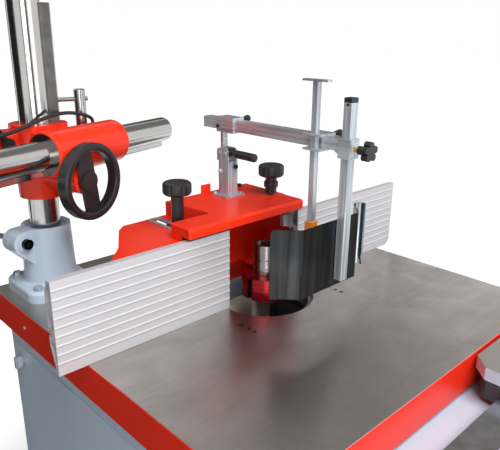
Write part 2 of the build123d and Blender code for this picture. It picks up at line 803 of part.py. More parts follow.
# Switch box with a flush start button and a mushroom stop button.
SWITCH_FRONT = -HALF_Y - SWITCH_DEPTH
START_Z = SWITCH_Z + BUTTON_PITCH / 2
STOP_Z = SWITCH_Z - BUTTON_PITCH / 2


def switch_box():
    half = SWITCH_WIDTH / 2
    tall = (SWITCH_Z - SWITCH_HEIGHT / 2, SWITCH_Z + SWITCH_HEIGHT / 2)
    case = block((SWITCH_X - half, SWITCH_X + half), (SWITCH_FRONT, -HALF_Y), tall)
    case = fillet(case.edges().filter_by(Axis.Y), SWITCH_CORNER)
    case = fillet(case.faces().sort_by(Axis.Y)[0].edges(), SWITCH_EDGE)
    for z in (START_Z, STOP_Z):
        front = (SWITCH_X, SWITCH_FRONT, z)
        back = (SWITCH_X, SWITCH_FRONT + SWITCH_DEPTH / 2, z)
        case -= rod(front, back, BUTTON_R + SLIDING)
    return case


def button(z, head_radius, proud):
    end = SWITCH_FRONT + SWITCH_DEPTH / 2 - BUTTON_TRAVEL - SLIDING
    stem = rod((SWITCH_X, SWITCH_FRONT - proud, z), (SWITCH_X, end, z), BUTTON_R)
    under = SWITCH_FRONT - proud
    head = rod((SWITCH_X, under - BUTTON_HEAD, z), (SWITCH_X, under, z), head_radius)
    crown = head.faces().sort_by(Axis.Y)[0].edges()
    return stem + fillet(crown, BUTTON_CROWN)


# Sliding table on a beam in front of the cabinet.
SLIDE_BACK = -TABLE_Y / 2 - SLIDE_GAP
SLIDE_MID = SLIDE_BACK - SLIDE_WIDTH / 2
RAIL_Y = CARRIAGE_BACK - CARRIAGE_WIDTH / 2
RAIL_TOP = -SLIDE_THICK - CARRIAGE_WALL - SLIDING
RAIL_LOW = -SLIDE_THICK - CARRIAGE_DEPTH - SLIDING
BEAM_TOP = RAIL_LOW - RAIL_STEM


def sliding_table():
    right = SLIDE_LEFT + SLIDE_LENGTH
    front = SLIDE_BACK - SLIDE_WIDTH
    plate = block((SLIDE_LEFT, right), (front, SLIDE_BACK), (-SLIDE_THICK, 0))
    plate = chamfer(plate.edges().filter_by(Axis.Z), SLIDE_CORNER)
    mouth = (SLIDE_MID - SLOT_MOUTH / 2, SLIDE_MID + SLOT_MOUTH / 2)
    head = (SLIDE_MID - SLOT_HEAD / 2, SLIDE_MID + SLOT_HEAD / 2)
    plate -= block((SLIDE_LEFT, right), mouth, (-SLOT_DEPTH, 0))
    plate -= block((SLIDE_LEFT, right), head, (-SLOT_DEPTH, -SLOT_DEPTH / 2))
    half = CARRIAGE_WIDTH / 2
    run = (SLIDE_LEFT + CARRIAGE_INSET, right - CARRIAGE_INSET)
    carriage = block(run, (RAIL_Y - half, RAIL_Y + half), (-SLIDE_THICK - CARRIAGE_DEPTH, -SLIDE_THICK))
    carriage = chamfer(carriage.edges().filter_by(Axis.Z), CARRIAGE_INSET)
    channel = RAIL_WIDTH / 2 + SLIDING
    tunnel = (-SLIDE_THICK - CARRIAGE_DEPTH, -SLIDE_THICK - CARRIAGE_WALL)
    carriage -= block(run, (RAIL_Y - channel, RAIL_Y + channel), tunnel)
    return plate + carriage


def slide_rail():
    half = RAIL_WIDTH / 2
    ends = (RAIL_LEFT, RAIL_LEFT + RAIL_LENGTH)
    rail = block(ends, (RAIL_Y - half, RAIL_Y + half), (BEAM_TOP, RAIL_TOP))
    for sign in (-1, 1):
        y = RAIL_Y + sign * half
        z = RAIL_LOW + RAIL_HEAD_R
        rail -= rod((ends[0], y, z), (ends[1], y, z), RAIL_HEAD_R / 2)
    return rail


def slide_support():
    ends = (RAIL_LEFT, RAIL_LEFT + RAIL_LENGTH)
    beam = block(ends, (BEAM_FRONT, BEAM_BACK), (BEAM_TOP - BEAM_DEPTH, BEAM_TOP))
    hollow_y = (BEAM_FRONT + BEAM_WALL, BEAM_BACK - BEAM_WALL)
    beam -= block(ends, hollow_y, (BEAM_TOP - BEAM_DEPTH + BEAM_WALL, BEAM_TOP - BEAM_WALL))
    for x in BEAM_ARM_X:
        arm_x = (x - BEAM_ARM_WIDTH / 2, x + BEAM_ARM_WIDTH / 2)
        arm = block(arm_x, (BEAM_BACK, -HALF_Y), (BEAM_TOP - BEAM_DEPTH, BEAM_TOP))
        pocket_x = (arm_x[0] + BEAM_WALL, arm_x[1] - BEAM_WALL)
        arm -= block(pocket_x, (BEAM_BACK, -HALF_Y), (BEAM_TOP - BEAM_DEPTH, BEAM_TOP - BEAM_WALL))
        beam += arm
    return beam


# Fence: ribbed hollow boards, carriers, sheet-metal hood and extraction spout.
BOARD_FRONT = 0.0
BOARD_BACK = BOARD_FRONT + BOARD_THICK
BEAD_PITCH = (BOARD_HEIGHT - BEAD_FIRST) / BEAD_COUNT
BAND_FRONT = BOARD_FRONT + BEAD_DEPTH


def board_rear():
    """Back of a board's section in (depth, height): drawn in to a thin foot and a narrow top."""
    return [
        (BAND_FRONT, 0),
        (BOARD_FRONT + BOARD_HEEL, 0),
        (BOARD_BACK, BOARD_HEEL_RUN),
        (BOARD_BACK, BOARD_HEIGHT - BOARD_CAP_RUN),
        (BOARD_FRONT + BOARD_CAP, BOARD_HEIGHT),
        (BAND_FRONT, BOARD_HEIGHT),
    ]


def beaded_front():
    """Front of a board's section from the top down: flat bands with a round bead between them."""
    edges = []
    start = BOARD_HEIGHT
    for bead in reversed(range(BEAD_COUNT)):
        middle = BEAD_FIRST + bead * BEAD_PITCH
        upper = (BAND_FRONT, middle + BEAD_WIDTH / 2)
        lower = (BAND_FRONT, middle - BEAD_WIDTH / 2)
        edges.append(Line((BAND_FRONT, start), upper))
        edges.append(ThreePointArc(upper, (BOARD_FRONT, middle), lower))
        start = lower[1]
    edges.append(Line((BAND_FRONT, start), (BAND_FRONT, 0)))
    return edges


def board(side):
    """One fence board on the left (-1) or right (1) of the cutter."""
    outline = make_face([*Polyline(*board_rear()).edges(), *beaded_front()])
    section = extrude(Plane.YZ * outline, BOARD_LENGTH)
    core = offset(make_face(Polyline(*board_rear(), close=True)), -BOARD_SKIN, kind=Kind.INTERSECTION)
    hollow = extrude(Plane.YZ * core, BOARD_LENGTH)
    slot_backs = BOARD_BACK - BOARD_LIP - BOARD_CHANNEL_DEPTH
    for z in BOARD_SLOTS:
        mouth = (z - BOARD_MOUTH / 2, z + BOARD_MOUTH / 2)
        channel = (z - BOARD_CHANNEL / 2, z + BOARD_CHANNEL / 2)
        section -= block((0, BOARD_LENGTH), (slot_backs, BOARD_BACK), mouth)
        section -= block((0, BOARD_LENGTH), (slot_backs, BOARD_BACK - BOARD_LIP), channel)
    walls = [0.0]
    for z in BOARD_SLOTS:
        walls += [z - BOARD_CHANNEL / 2 - BOARD_SKIN, z + BOARD_CHANNEL / 2 + BOARD_SKIN]
    walls.append(BOARD_HEIGHT)
    for storey in zip(walls[0::2], walls[1::2]):
        section -= hollow & block((0, BOARD_LENGTH), (BOARD_FRONT, BOARD_BACK), storey)
    placed = Pos(BOARD_GAP, 0, BOARD_LIFT)
    if side < 0:
        return mirror(placed * section, Plane.YZ)
    cut = BOARD_CORNER * sqrt(2)
    corner = Pos(BOARD_LENGTH, BOARD_BACK / 2, 0) * Rot(0, 45, 0) * Box(cut, 2 * BOARD_THICK, cut)
    return placed * (section - corner)


CARRIER_FRONT = BOARD_BACK + SLIDING
CARRIER_BACK = CARRIER_FRONT + CARRIER_THICK


def carrier(side):
    """Bracket behind one board, with T-strips in the board's slots and a foot on the table."""
    near = BOARD_GAP - CARRIER_INSET if side > 0 else BOARD_GAP + BOARD_CORNER
    web = block((near, CARRIER_FAR), (CARRIER_FRONT, CARRIER_BACK), (SLIDING, CARRIER_TOP))
    notch_z = CARRIER_TOP - CARRIER_BAND - CARRIER_NOTCH_R
    web -= rod((near, CARRIER_FRONT - GAP, notch_z), (near, CARRIER_BACK + GAP, notch_z), CARRIER_NOTCH_R)
    web -= block((near, near + CARRIER_NOTCH_R), (CARRIER_FRONT, CARRIER_BACK), (0, notch_z))
    foot_x = (HOOD_SIDE + SHEET, CARRIER_FAR)
    foot = block(foot_x, (CARRIER_BACK, CARRIER_BACK + CARRIER_FOOT), (SLIDING, CARRIER_THICK))
    web += foot
    web -= block((near, HOOD_SIDE + SHEET), (CARRIER_BACK - GAP, CARRIER_BACK), (0, CARRIER_TOP))
    neck_y = (CARRIER_FRONT - BOARD_LIP - 2 * SLIDING, CARRIER_FRONT)
    head_y = (neck_y[0] - BOARD_CHANNEL_DEPTH + 3 * SLIDING, neck_y[0])
    strip_x = (HOOD_SIDE + 2 * BOARD_CORNER, CARRIER_FAR - BOARD_CORNER)
    for z in BOARD_SLOTS:
        middle = z + BOARD_LIFT
        neck = BOARD_MOUTH / 2 - SLIDING
        head = BOARD_CHANNEL / 2 - SLIDING
        web += block(strip_x, neck_y, (middle - neck, middle + neck))
        web += block(strip_x, head_y, (middle - head, middle + head))
    return web if side > 0 else mirror(web, Plane.YZ)


WING_LOW = WING_TOP - SHEET
HOOD_WALL_FRONT = CARRIER_BACK + SLIDING
WING_FRONT = CARRIER_FRONT
skirt_start = (WING_END + WING_NECK[0], WING_FRONT + WING_NECK[1])
skirt_end = (WING_END + WING_KNEE[0], HOOD_BACK - WING_KNEE[1])


def wing_outline():
    """Plan of the left wing: straight front and back, slanted end."""
    return Polyline(
        (HOOD_LEFT_FRONT + SHEET, WING_FRONT),
        (WING_END, WING_FRONT),
        skirt_start,
        skirt_end,
        (WING_END + WING_HEEL[0], HOOD_BACK - WING_HEEL[1]),
        (HOOD_LEFT_BACK + SHEET, HOOD_BACK),
        close=True,
    )


def left_strip(start, width, front, height):
    """A strip on the table along the slanted left side of the box, from its outer face inwards."""
    corners = [
        (start, front),
        (start + width, front),
        (HOOD_LEFT_BACK + width, HOOD_BACK),
        (HOOD_LEFT_BACK, HOOD_BACK),
    ]
    return Pos(0, 0, SLIDING) * extrude(make_face(Polyline(*corners, close=True)), height - SLIDING)


def hood():
    lip_low = HOOD_TOP - HOOD_LIP
    front = block((STRIP_END, HOOD_SIDE), (HOOD_FRONT, STRIP_BACK), (lip_low, HOOD_TOP))
    rounded = front.edges().filter_by(Axis.X).filter_by_position(Axis.Y, HOOD_FRONT - GAP, HOOD_FRONT + GAP)
    front = fillet(rounded.filter_by_position(Axis.Z, HOOD_TOP - GAP, HOOD_TOP + GAP), HOOD_BEND)
    ends = front.edges().filter_by(Axis.Z).filter_by_position(Axis.Y, HOOD_FRONT - GAP, HOOD_FRONT + GAP)
    front = fillet(ends, HOOD_BEND - SHEET)
    under_x = (STRIP_END + SHEET, HOOD_SIDE - SHEET)
    under_z = (lip_low, HOOD_TOP - SHEET)
    front -= block(under_x, (HOOD_FRONT + SHEET, STRIP_BACK), under_z)
    front -= block((HOOD_SIDE - SHEET, HOOD_SIDE), (HOOD_FRONT + HOOD_BEND, STRIP_BACK), under_z)
    front -= block((STRIP_END, STRIP_END + SHEET), (WING_FRONT, STRIP_BACK), under_z)
    corners = [
        (HOOD_SIDE, STRIP_BACK),
        (HOOD_SIDE, HOOD_BACK),
        (HOOD_LEFT_BACK, HOOD_BACK),
        (HOOD_LEFT_FRONT, STRIP_BACK),
    ]
    shell = front + Pos(0, 0, HOOD_TOP - SHEET) * extrude(make_face(Polyline(*corners, close=True)), SHEET)
    right_x = (HOOD_SIDE - SHEET, HOOD_SIDE)
    shell += block(right_x, (HOOD_WALL_FRONT, HOOD_BACK), (SLIDING, HOOD_TOP - SHEET))
    foot_y = (HOOD_WALL_FRONT + HOOD_FOOT, HOOD_BACK)
    shell += block((HOOD_SIDE - HOOD_FOOT, HOOD_SIDE), foot_y, (SLIDING, SHEET))
    slant = (HOOD_LEFT_BACK - HOOD_LEFT_FRONT) / (HOOD_BACK - STRIP_BACK)
    wall_start = HOOD_LEFT_FRONT + slant * (HOOD_WALL_FRONT - STRIP_BACK)
    shell += left_strip(wall_start, SHEET, HOOD_WALL_FRONT, HOOD_TOP - SHEET)
    shell += left_strip(wall_start, HOOD_FOOT, HOOD_WALL_FRONT, SHEET)
    back = block((HOOD_LEFT_BACK, HOOD_SIDE), (HOOD_BACK - SHEET, HOOD_BACK), (SLIDING, HOOD_TOP - SHEET))
    back -= rod((0, HOOD_BACK - 2 * SHEET, SPOUT_Z), (0, HOOD_BACK + SHEET, SPOUT_Z), SPOUT_R - SPOUT_WALL)
    shell += back
    tab_x = (TAB_X - TAB_WIDTH / 2, TAB_X + TAB_WIDTH / 2)
    shell += block(tab_x, (HOOD_BACK - SHEET, HOOD_BACK), (HOOD_TOP - SHEET, HOOD_TOP + TAB_HEIGHT))
    wing = Pos(0, 0, WING_LOW) * extrude(make_face(wing_outline()), SHEET)
    slot_y = (STRIP_BACK, WING_SLOT_BACK)
    wing -= block((LEFT_KNOB[0] - WING_SLOT / 2, LEFT_KNOB[0] + WING_SLOT / 2), slot_y, (WING_LOW, WING_TOP))
    shell += wing
    along = Vector(*skirt_end) - Vector(*skirt_start)
    skirt = Box(along.length, SHEET, WING_FLANGE, align=(Align.MIN, Align.MAX, Align.MAX))
    turn = degrees(atan2(along.Y, along.X))
    shell += Pos(*skirt_start, WING_TOP) * Rot(0, 0, turn) * skirt
    riser_z = (WING_LOW, HOOD_TOP - SHEET)
    shell += block((STRIP_END, STRIP_END + SHEET), (WING_FRONT, STRIP_BACK), riser_z)
    shell += block((STRIP_END, HOOD_LEFT_FRONT), (STRIP_BACK - SHEET, STRIP_BACK), riser_z)
    stud_hole = KNOB_STUD_R + SLIDING
    return shell - upright(stud_hole, HOOD_TOP - SHEET, HOOD_TOP, *RIGHT_KNOB)


def slot_plate():
    """Slotted steel plate that the left knob bears on."""
    length = WING_SLOT_BACK - STRIP_BACK
    middle = STRIP_BACK + length / 2
    half = WING_SLOT / 2 + SLOT_PLATE_MARGIN
    outer = block(
        (LEFT_KNOB[0] - half, LEFT_KNOB[0] + half),
        (STRIP_BACK, WING_SLOT_BACK + SLOT_PLATE_MARGIN),
        (WING_TOP, WING_TOP + SLOT_PLATE),
    )
    slot_x = (LEFT_KNOB[0] - WING_SLOT / 2, LEFT_KNOB[0] + WING_SLOT / 2)
    outer -= block(slot_x, (middle - length, WING_SLOT_BACK), (WING_TOP, WING_TOP + SLOT_PLATE))
    corner = outer.edges().filter_by(Axis.Z).filter_by_position(Axis.Y, WING_SLOT_BACK + GAP, HOOD_BACK)
    return fillet(corner, SLOT_PLATE_MARGIN)


def extraction_spout():
    start = HOOD_BACK
    pipe = rod((0, start, SPOUT_Z), (0, start + SPOUT_LENGTH, SPOUT_Z), SPOUT_R)
    pipe += rod((0, start, SPOUT_Z), (0, start + SHEET, SPOUT_Z), SPOUT_FLANGE_R)
    return pipe - rod((0, start, SPOUT_Z), (0, start + SPOUT_LENGTH, SPOUT_Z), SPOUT_R - SPOUT_WALL)


def lobed_head(radius, lobes, lobe_radius, low, height):
    """A moulded knob head: a rounded disc with finger scallops."""
    head = upright(radius, low, low + height)
    head = fillet(head.edges().filter_by(GeomType.CIRCLE), height / 4)
    for turn in range(lobes):
        angle = radians(turn * 360 / lobes)
        reach = radius + lobe_radius / 2
        head -= upright(lobe_radius, low, low + height, reach * cos(angle), reach * sin(angle))
    return head


def knob(place, stem_low, stud_low, collar):
    """Clamp knob: lobed head on a long neck with a threaded stud below."""
    x, y = place
    body = lobed_head(KNOB_R, KNOB_LOBES, KNOB_LOBE_R, KNOB_BASE, KNOB_HEIGHT)
    body += upright(KNOB_NECK_R, stem_low, KNOB_BASE + GAP)
    if collar:
        middle = (stem_low + KNOB_BASE) / 2
        body += upright(KNOB_COLLAR_R, middle - KNOB_COLLAR / 2, middle + KNOB_COLLAR / 2)
    body += upright(KNOB_STUD_R, stud_low, stem_low)
    return Pos(x, y, 0) * body


# Hold-down arm, bar and cutter guard on the hood.
UP_X, UP_Y = UPRIGHT_CENTRE
EAR_X = UPRIGHT_X / 2 - UPRIGHT_WALL


def toggle_upright():
    foot_top = HOOD_TOP + UPRIGHT_FOOT
    foot_x = (UP_X - UPRIGHT_FOOT_X / 2, UP_X + UPRIGHT_FOOT_X / 2)
    foot_y = (UP_Y - UPRIGHT_FOOT_Y / 2, UP_Y + UPRIGHT_FOOT_Y / 2)
    post = block(foot_x, foot_y, (HOOD_TOP, foot_top))
    half_x, half_y = UPRIGHT_X / 2, UPRIGHT_Y / 2
    channel = block((UP_X - half_x, UP_X + half_x), (UP_Y - half_y, UP_Y + half_y), (foot_top, UPRIGHT_TOP))
    inner_x = (UP_X - EAR_X, UP_X + EAR_X)
    channel -= block(inner_x, (UP_Y - half_y + UPRIGHT_WALL, UP_Y + half_y), (foot_top, UPRIGHT_TOP))
    post += channel
    for sign in (-1, 1):
        ear_x = sorted((UP_X + sign * EAR_X, UP_X + sign * half_x))
        ear = block(ear_x, (HANDLE_Y - EYE_R, SWING_Y + EYE_R), (UPRIGHT_TOP, EAR_TOP))
        corners = ear.edges().filter_by(Axis.X).filter_by_position(Axis.Z, EAR_TOP - GAP, EAR_TOP + GAP)
        post += fillet(corners, EYE_R - GAP)
    for y, z in ((SWING_Y, SWING_Z), (HANDLE_Y, HANDLE_Z)):
        post += rod((UP_X - half_x - SHEET, y, z), (UP_X + half_x + SHEET, y, z), PIN_R)
    return post


def arm_carrier():
    half = RISER_X / 2
    riser_y = (SWING_Y - RISER_Y / 2, SWING_Y + RISER_Y / 2)
    riser = block((UP_X - half, UP_X + half), riser_y, (SWING_Z, ARM_Z))
    riser += rod((UP_X - half, SWING_Y, SWING_Z), (UP_X + half, SWING_Y, SWING_Z), EYE_R)
    outer = ARM_SIDE / 2 + ARM_SLEEVE_WALL + SLIDING
    bore = ARM_SIDE / 2 + SLIDING
    run = (ARM_SLEEVE_FRONT, ARM_SLEEVE_BACK)
    sleeve = block((UP_X - outer, UP_X + outer), run, (ARM_Z - outer, ARM_Z + outer))
    riser += sleeve
    riser -= block((UP_X - bore, UP_X + bore), run, (ARM_Z - bore, ARM_Z + bore))
    return riser - rod((UP_X - half, SWING_Y, SWING_Z), (UP_X + half, SWING_Y, SWING_Z), PIN_R + RUNNING)


def toggle_handle():
    half = EAR_X - SLIDING
    eye = rod((UP_X - half, HANDLE_Y, HANDLE_Z), (UP_X + half, HANDLE_Y, HANDLE_Z), EYE_R)
    grip_start = HANDLE_Y - HANDLE_LENGTH / 4
    eye += rod((UP_X, HANDLE_Y, HANDLE_Z), (UP_X, grip_start, HANDLE_Z), HANDLE_R / 2)
    grip = rod((UP_X, grip_start, HANDLE_Z), (UP_X, HANDLE_Y - HANDLE_LENGTH, HANDLE_Z), HANDLE_R)
    grip = fillet(grip.edges().filter_by(GeomType.CIRCLE), HANDLE_R / 3)
    handle = eye + grip
    return handle - rod((UP_X - half, HANDLE_Y, HANDLE_Z), (UP_X + half, HANDLE_Y, HANDLE_Z), PIN_R + RUNNING)


POST_HALF = POST_SIDE / 2
SLEEVE_HALF = POST_HALF + SLIDING + SLEEVE_WALL
ARM_FRONT = POST_Y + SLEEVE_HALF
STAR_Z = (SLEEVE_LOW + SLEEVE_TOP) / 2


def guard_arm():
    half = ARM_SIDE / 2
    inner = half - ARM_WALL
    tube = block((UP_X - half, UP_X + half), (ARM_FRONT, ARM_BACK), (ARM_Z - half, ARM_Z + half))
    tube -= block((UP_X - inner, UP_X + inner), (ARM_FRONT, ARM_BACK), (ARM_Z - inner, ARM_Z + inner))
    sleeve_y = (POST_Y - SLEEVE_HALF, ARM_FRONT)
    sleeve = block((UP_X - SLEEVE_HALF, UP_X + SLEEVE_HALF), sleeve_y, (SLEEVE_LOW, SLEEVE_TOP))
    bore = POST_HALF + SLIDING
    sleeve -= block((UP_X - bore, UP_X + bore), (POST_Y - bore, POST_Y + bore), (SLEEVE_LOW, SLEEVE_TOP))
    stud = STAR_STUD_R + RUNNING
    sleeve -= rod((UP_X, POST_Y - SLEEVE_HALF, STAR_Z), (UP_X, POST_Y - bore, STAR_Z), stud)
    profile = Polyline(
        (ARM_FRONT, ARM_Z - half),
        (ARM_FRONT + GUSSET, ARM_Z - half),
        (ARM_FRONT, SLEEVE_LOW),
        close=True,
    )
    web = extrude(Plane.YZ * make_face(profile), ARM_WALL, both=True)
    return tube + sleeve + Pos(UP_X, 0, 0) * web


def lever(y, axis_x):
    """Clamp lever: hub along X, tapered arm rising towards the front."""
    hub = rod((axis_x, y, ARM_Z), (axis_x + LEVER_HUB, y, ARM_Z), LEVER_HUB_R)
    middle = axis_x + LEVER_HUB - LEVER_R
    tip = (middle, y - LEVER_REACH, ARM_Z + LEVER_RISE)
    arm = rod((middle, y, ARM_Z), tip, LEVER_R * 0.8, LEVER_R)
    return hub + arm + Pos(*tip) * Sphere(LEVER_R)


ARM_LEVER_X = UP_X + ARM_SIDE / 2 + ARM_SLEEVE_WALL + 2 * SLIDING
BAR_LEVER_X = UP_X + ARM_SIDE / 2 + BRACKET_PLATE + SLIDING


def bar_bracket():
    arm_half = ARM_SIDE / 2
    outer_x = (BAR_X - BAR_SIDE, UP_X + arm_half + BRACKET_PLATE)
    run = (BAR_Y - BRACKET_WIDTH / 2, BAR_Y + BRACKET_WIDTH / 2)
    plates = block(outer_x, run, (ARM_Z + arm_half, ARM_Z + arm_half + BRACKET_PLATE))
    plates += block(outer_x, run, (ARM_Z - arm_half - BRACKET_PLATE, ARM_Z - arm_half))
    plates += block((UP_X + arm_half, outer_x[1]), run, (ARM_Z - arm_half, ARM_Z + arm_half))
    hole = BAR_SIDE / 2 + SLIDING
    tall = (ARM_Z - arm_half - BRACKET_PLATE, ARM_Z + arm_half + BRACKET_PLATE)
    return plates - block((BAR_X - hole, BAR_X + hole), (BAR_Y - hole, BAR_Y + hole), tall)


def hold_down_bar():
    half = BAR_SIDE / 2
    stem = block((BAR_X - half, BAR_X + half), (BAR_Y - half, BAR_Y + half), (BAR_LOW, BAR_TOP - BAR_CAP))
    cap_x = (BAR_X - BAR_CAP_WIDTH / 2, BAR_X + BAR_CAP_WIDTH / 2)
    cap_y = (BAR_Y - BAR_CAP_LENGTH / 2, BAR_Y + BAR_CAP_LENGTH / 2)
    return stem + block(cap_x, cap_y, (BAR_TOP - BAR_CAP, BAR_TOP))


def hold_down_pad():
    half = PAD_SIDE / 2
    top = BAR_LOW + PAD_SEAT
    pad = block((BAR_X - half, BAR_X + half), (BAR_Y - half, BAR_Y + half), (top - PAD_HEIGHT, top))
    pad = fillet(pad.edges().filter_by(Axis.Z), half / 4)
    pad = fillet(pad.faces().sort_by(Axis.Z)[0].edges(), half / 3)
    seat = BAR_SIDE / 2
    return pad - block((BAR_X - seat, BAR_X + seat), (BAR_Y - seat, BAR_Y + seat), (BAR_LOW, top))


def post_cap():
    cap = Pos(UP_X, POST_Y, POST_TOP) * extrude(RectangleRounded(POST_SIDE, POST_SIDE, POST_WALL), POST_CAP)
    cap = fillet(cap.faces().sort_by(Axis.Z)[-1].edges(), POST_WALL / 2)
    plug = POST_HALF - POST_WALL
    plug_z = (POST_TOP - POST_CAP_PLUG, POST_TOP)
    return cap + block((UP_X - plug, UP_X + plug), (POST_Y - plug, POST_Y + plug), plug_z)


def guard_plate():
    y = POST_Y + POST_HALF + PLATE_THICK / 2
    step = PLATE_WING / sqrt(2)
    path = FilletPolyline(
        (PLATE_LEFT - step, y + step),
        (PLATE_LEFT, y),
        (PLATE_RIGHT, y),
        (PLATE_RIGHT + step, y + step),
        radius=PLATE_BEND,
    )
    curl_start = path @ 1
    off = PLATE_CURL / sqrt(2)
    curl = CenterArc((curl_start.X + off, curl_start.Y - off), PLATE_CURL, 135, -PLATE_CURL_TURN)
    centre = Wire([*path.edges(), *curl.edges()])
    strip = offset(centre, PLATE_THICK / 2, side=Side.BOTH, closed=True)
    plate = Pos(0, 0, PLATE_LOW) * extrude(make_face(strip), PLATE_TOP - PLATE_LOW)
    corner = PLATE_CORNER
    waste = block((-corner, corner), (-corner, corner), (-corner, corner))
    waste -= rod((corner, -corner, -corner), (corner, corner, -corner), corner)
    return plate - Pos(PLATE_LEFT - step, y + step, PLATE_TOP) * Rot(0, 0, -45) * waste


def star_knob():
    start = POST_Y - POST_HALF - SLIDING
    face = POST_Y - SLEEVE_HALF - STAR_STUD
    knob_body = rod((UP_X, start, STAR_Z), (UP_X, face, STAR_Z), STAR_STUD_R)
    hub = rod((UP_X, face, STAR_Z), (UP_X, face - 2 * STAR_THICK, STAR_Z), STAR_R / 2)
    knob_body += hub
    for turn in range(STAR_ARMS):
        angle = radians(90 + turn * 360 / STAR_ARMS)
        reach = STAR_R - 2 * STAR_LOBE_R / 3
        x = UP_X + reach * cos(angle)
        z = STAR_Z + reach * sin(angle)
        lobe = rod((x, face - STAR_THICK, z), (x, face - 2 * STAR_THICK, z), STAR_LOBE_R)
        knob_body += lobe
    return knob_body


# Feeder stand: base casting, rack column, cross clamp, handwheel, arm and lead.
column_axis = Pos(COLUMN_X, COLUMN_Y, 0)
ear_frame = column_axis * Rot(0, 0, EAR_TURN)
rack_frame = column_axis * Rot(0, 0, RACK_TURN)


PINCH_OUT = EAR_REACH - EAR_R
PINCH_HALF = EAR_WIDTH / 2 + EAR_PAD


def pinch_ear():
    """Ear of the base casting: round nose, underside sloping back to the tower, pads for the bolt."""
    nose = EAR_R / sqrt(2)
    tangent = (PINCH_OUT + nose, EAR_Z - nose)
    root = (COLUMN_R, tangent[1] - (tangent[0] - COLUMN_R))
    crown = (PINCH_OUT, EAR_Z + EAR_R)
    inside = (0, EAR_Z + EAR_R)
    outline = [
        ThreePointArc(crown, (EAR_REACH, EAR_Z), tangent),
        *Polyline(tangent, root, inside, crown).edges(),
    ]
    ear = extrude(Plane.XZ * make_face(outline), EAR_WIDTH / 2, both=True)
    return ear + rod((PINCH_OUT, -PINCH_HALF, EAR_Z), (PINCH_OUT, PINCH_HALF, EAR_Z), EAR_PAD_R)


def feeder_base():
    flange = extrude(RectangleRounded(STAND_SIDE, STAND_SIDE, STAND_CORNER), STAND_FLANGE)
    rim = flange.faces().sort_by(Axis.Z)[-1].edges()
    casting = fillet(rim, STAND_EDGE)
    tower = [
        (0, 0),
        (STAND_FOOT_R + STAND_FLARE, 0),
        (STAND_FOOT_R + STAND_FLARE, STAND_FLANGE),
        (STAND_FOOT_R + STAND_FLARE / 3, STAND_FLANGE + STAND_FLARE / 3),
        (STAND_FOOT_R, STAND_FLANGE + STAND_FLARE),
        (STAND_NECK_R, STAND_TOP),
        (0, STAND_TOP),
    ]
    casting += turned(tower)
    turn = Rot(0, 0, EAR_TURN)
    casting += turn * pinch_ear()
    casting -= upright(COLUMN_R + RUNNING, 0, STAND_TOP)
    casting -= upright(STAND_RECESS_R, STAND_TOP - STAND_RECESS, STAND_TOP)
    slit = block((COLUMN_R, EAR_REACH), (-EAR_SLIT / 2, EAR_SLIT / 2), (EAR_Z - 2 * EAR_R, STAND_TOP))
    casting -= turn * slit
    bore = PINCH_R + RUNNING
    casting -= turn * rod((PINCH_OUT, -PINCH_HALF, EAR_Z), (PINCH_OUT, PINCH_HALF, EAR_Z), bore)
    for sx in (-1, 1):
        for sy in (-1, 1):
            casting -= upright(STAND_BOLT_R + RUNNING, 0, STAND_FLANGE, sx * STAND_BOLT, sy * STAND_BOLT)
    return column_axis * casting


def base_lever():
    """Pinch bolt of the column: socket head in front, steel lever behind."""
    half = PINCH_HALF + SLIDING
    bolt = rod((PINCH_OUT, -half, EAR_Z), (PINCH_OUT, half, EAR_Z), PINCH_R)
    head = rod((PINCH_OUT, half, EAR_Z), (PINCH_OUT, half + PINCH_HEAD, EAR_Z), PINCH_HEAD_R)
    bolt += head
    hub = rod((PINCH_OUT, -half, EAR_Z), (PINCH_OUT, -half - PINCH_HUB, EAR_Z), PINCH_HEAD_R)
    root = (PINCH_OUT, -half - PINCH_HUB / 2, EAR_Z)
    tip = (PINCH_OUT + PINCH_LEVER[0], -half - PINCH_HEAD, EAR_Z + PINCH_LEVER[1])
    arm = rod(root, tip, *PINCH_LEVER_R)
    return ear_frame * (bolt + hub + arm + Pos(*tip) * Sphere(PINCH_BALL_R))


def feeder_column():
    tube = upright(COLUMN_R, COLUMN_FOOT, COLUMN_TOP)
    half = COLUMN_RACK_WIDTH / 2
    seat = block((RACK_SEAT_R, COLUMN_R), (-half, half), (RACK_LOW, RACK_HIGH))
    rim = tube.faces().sort_by(Axis.Z)[-1].edges()
    tube = chamfer(rim, SHEET)
    return column_axis * (tube - Rot(0, 0, RACK_TURN) * seat)


RACK_PITCH = pi * RACK_MODULE
RACK_TIP = RACK_PITCH_R + 0.8 * RACK_MODULE
RACK_ROOT = RACK_PITCH_R - 1.1 * RACK_MODULE


def rack_outline(first, count, root, tip, seat):
    """Side outline of a straight rack: (height along the rack, depth) points."""
    points = []
    for tooth in range(count):
        middle = first + tooth * RACK_PITCH
        points += [
            (middle - 0.34 * RACK_PITCH, root),
            (middle - 0.1 * RACK_PITCH, tip),
            (middle + 0.1 * RACK_PITCH, tip),
            (middle + 0.34 * RACK_PITCH, root),
        ]
    start = first - RACK_PITCH / 2
    end = first + (count - 0.5) * RACK_PITCH
    return [(start, seat), (start, root), *points, (end, root), (end, seat)]


def column_rack():
    below = int((LIFT_Z - RACK_LOW) / RACK_PITCH)
    first = LIFT_Z - (below - 0.5) * RACK_PITCH
    count = int((RACK_HIGH - first) / RACK_PITCH)
    outline = rack_outline(first, count, RACK_ROOT, RACK_TIP, RACK_SEAT_R)
    face = make_face(Polyline(*[(depth, 0, along) for along, depth in outline], close=True))
    return rack_frame * extrude(face, COLUMN_RACK_WIDTH / 2, both=True)


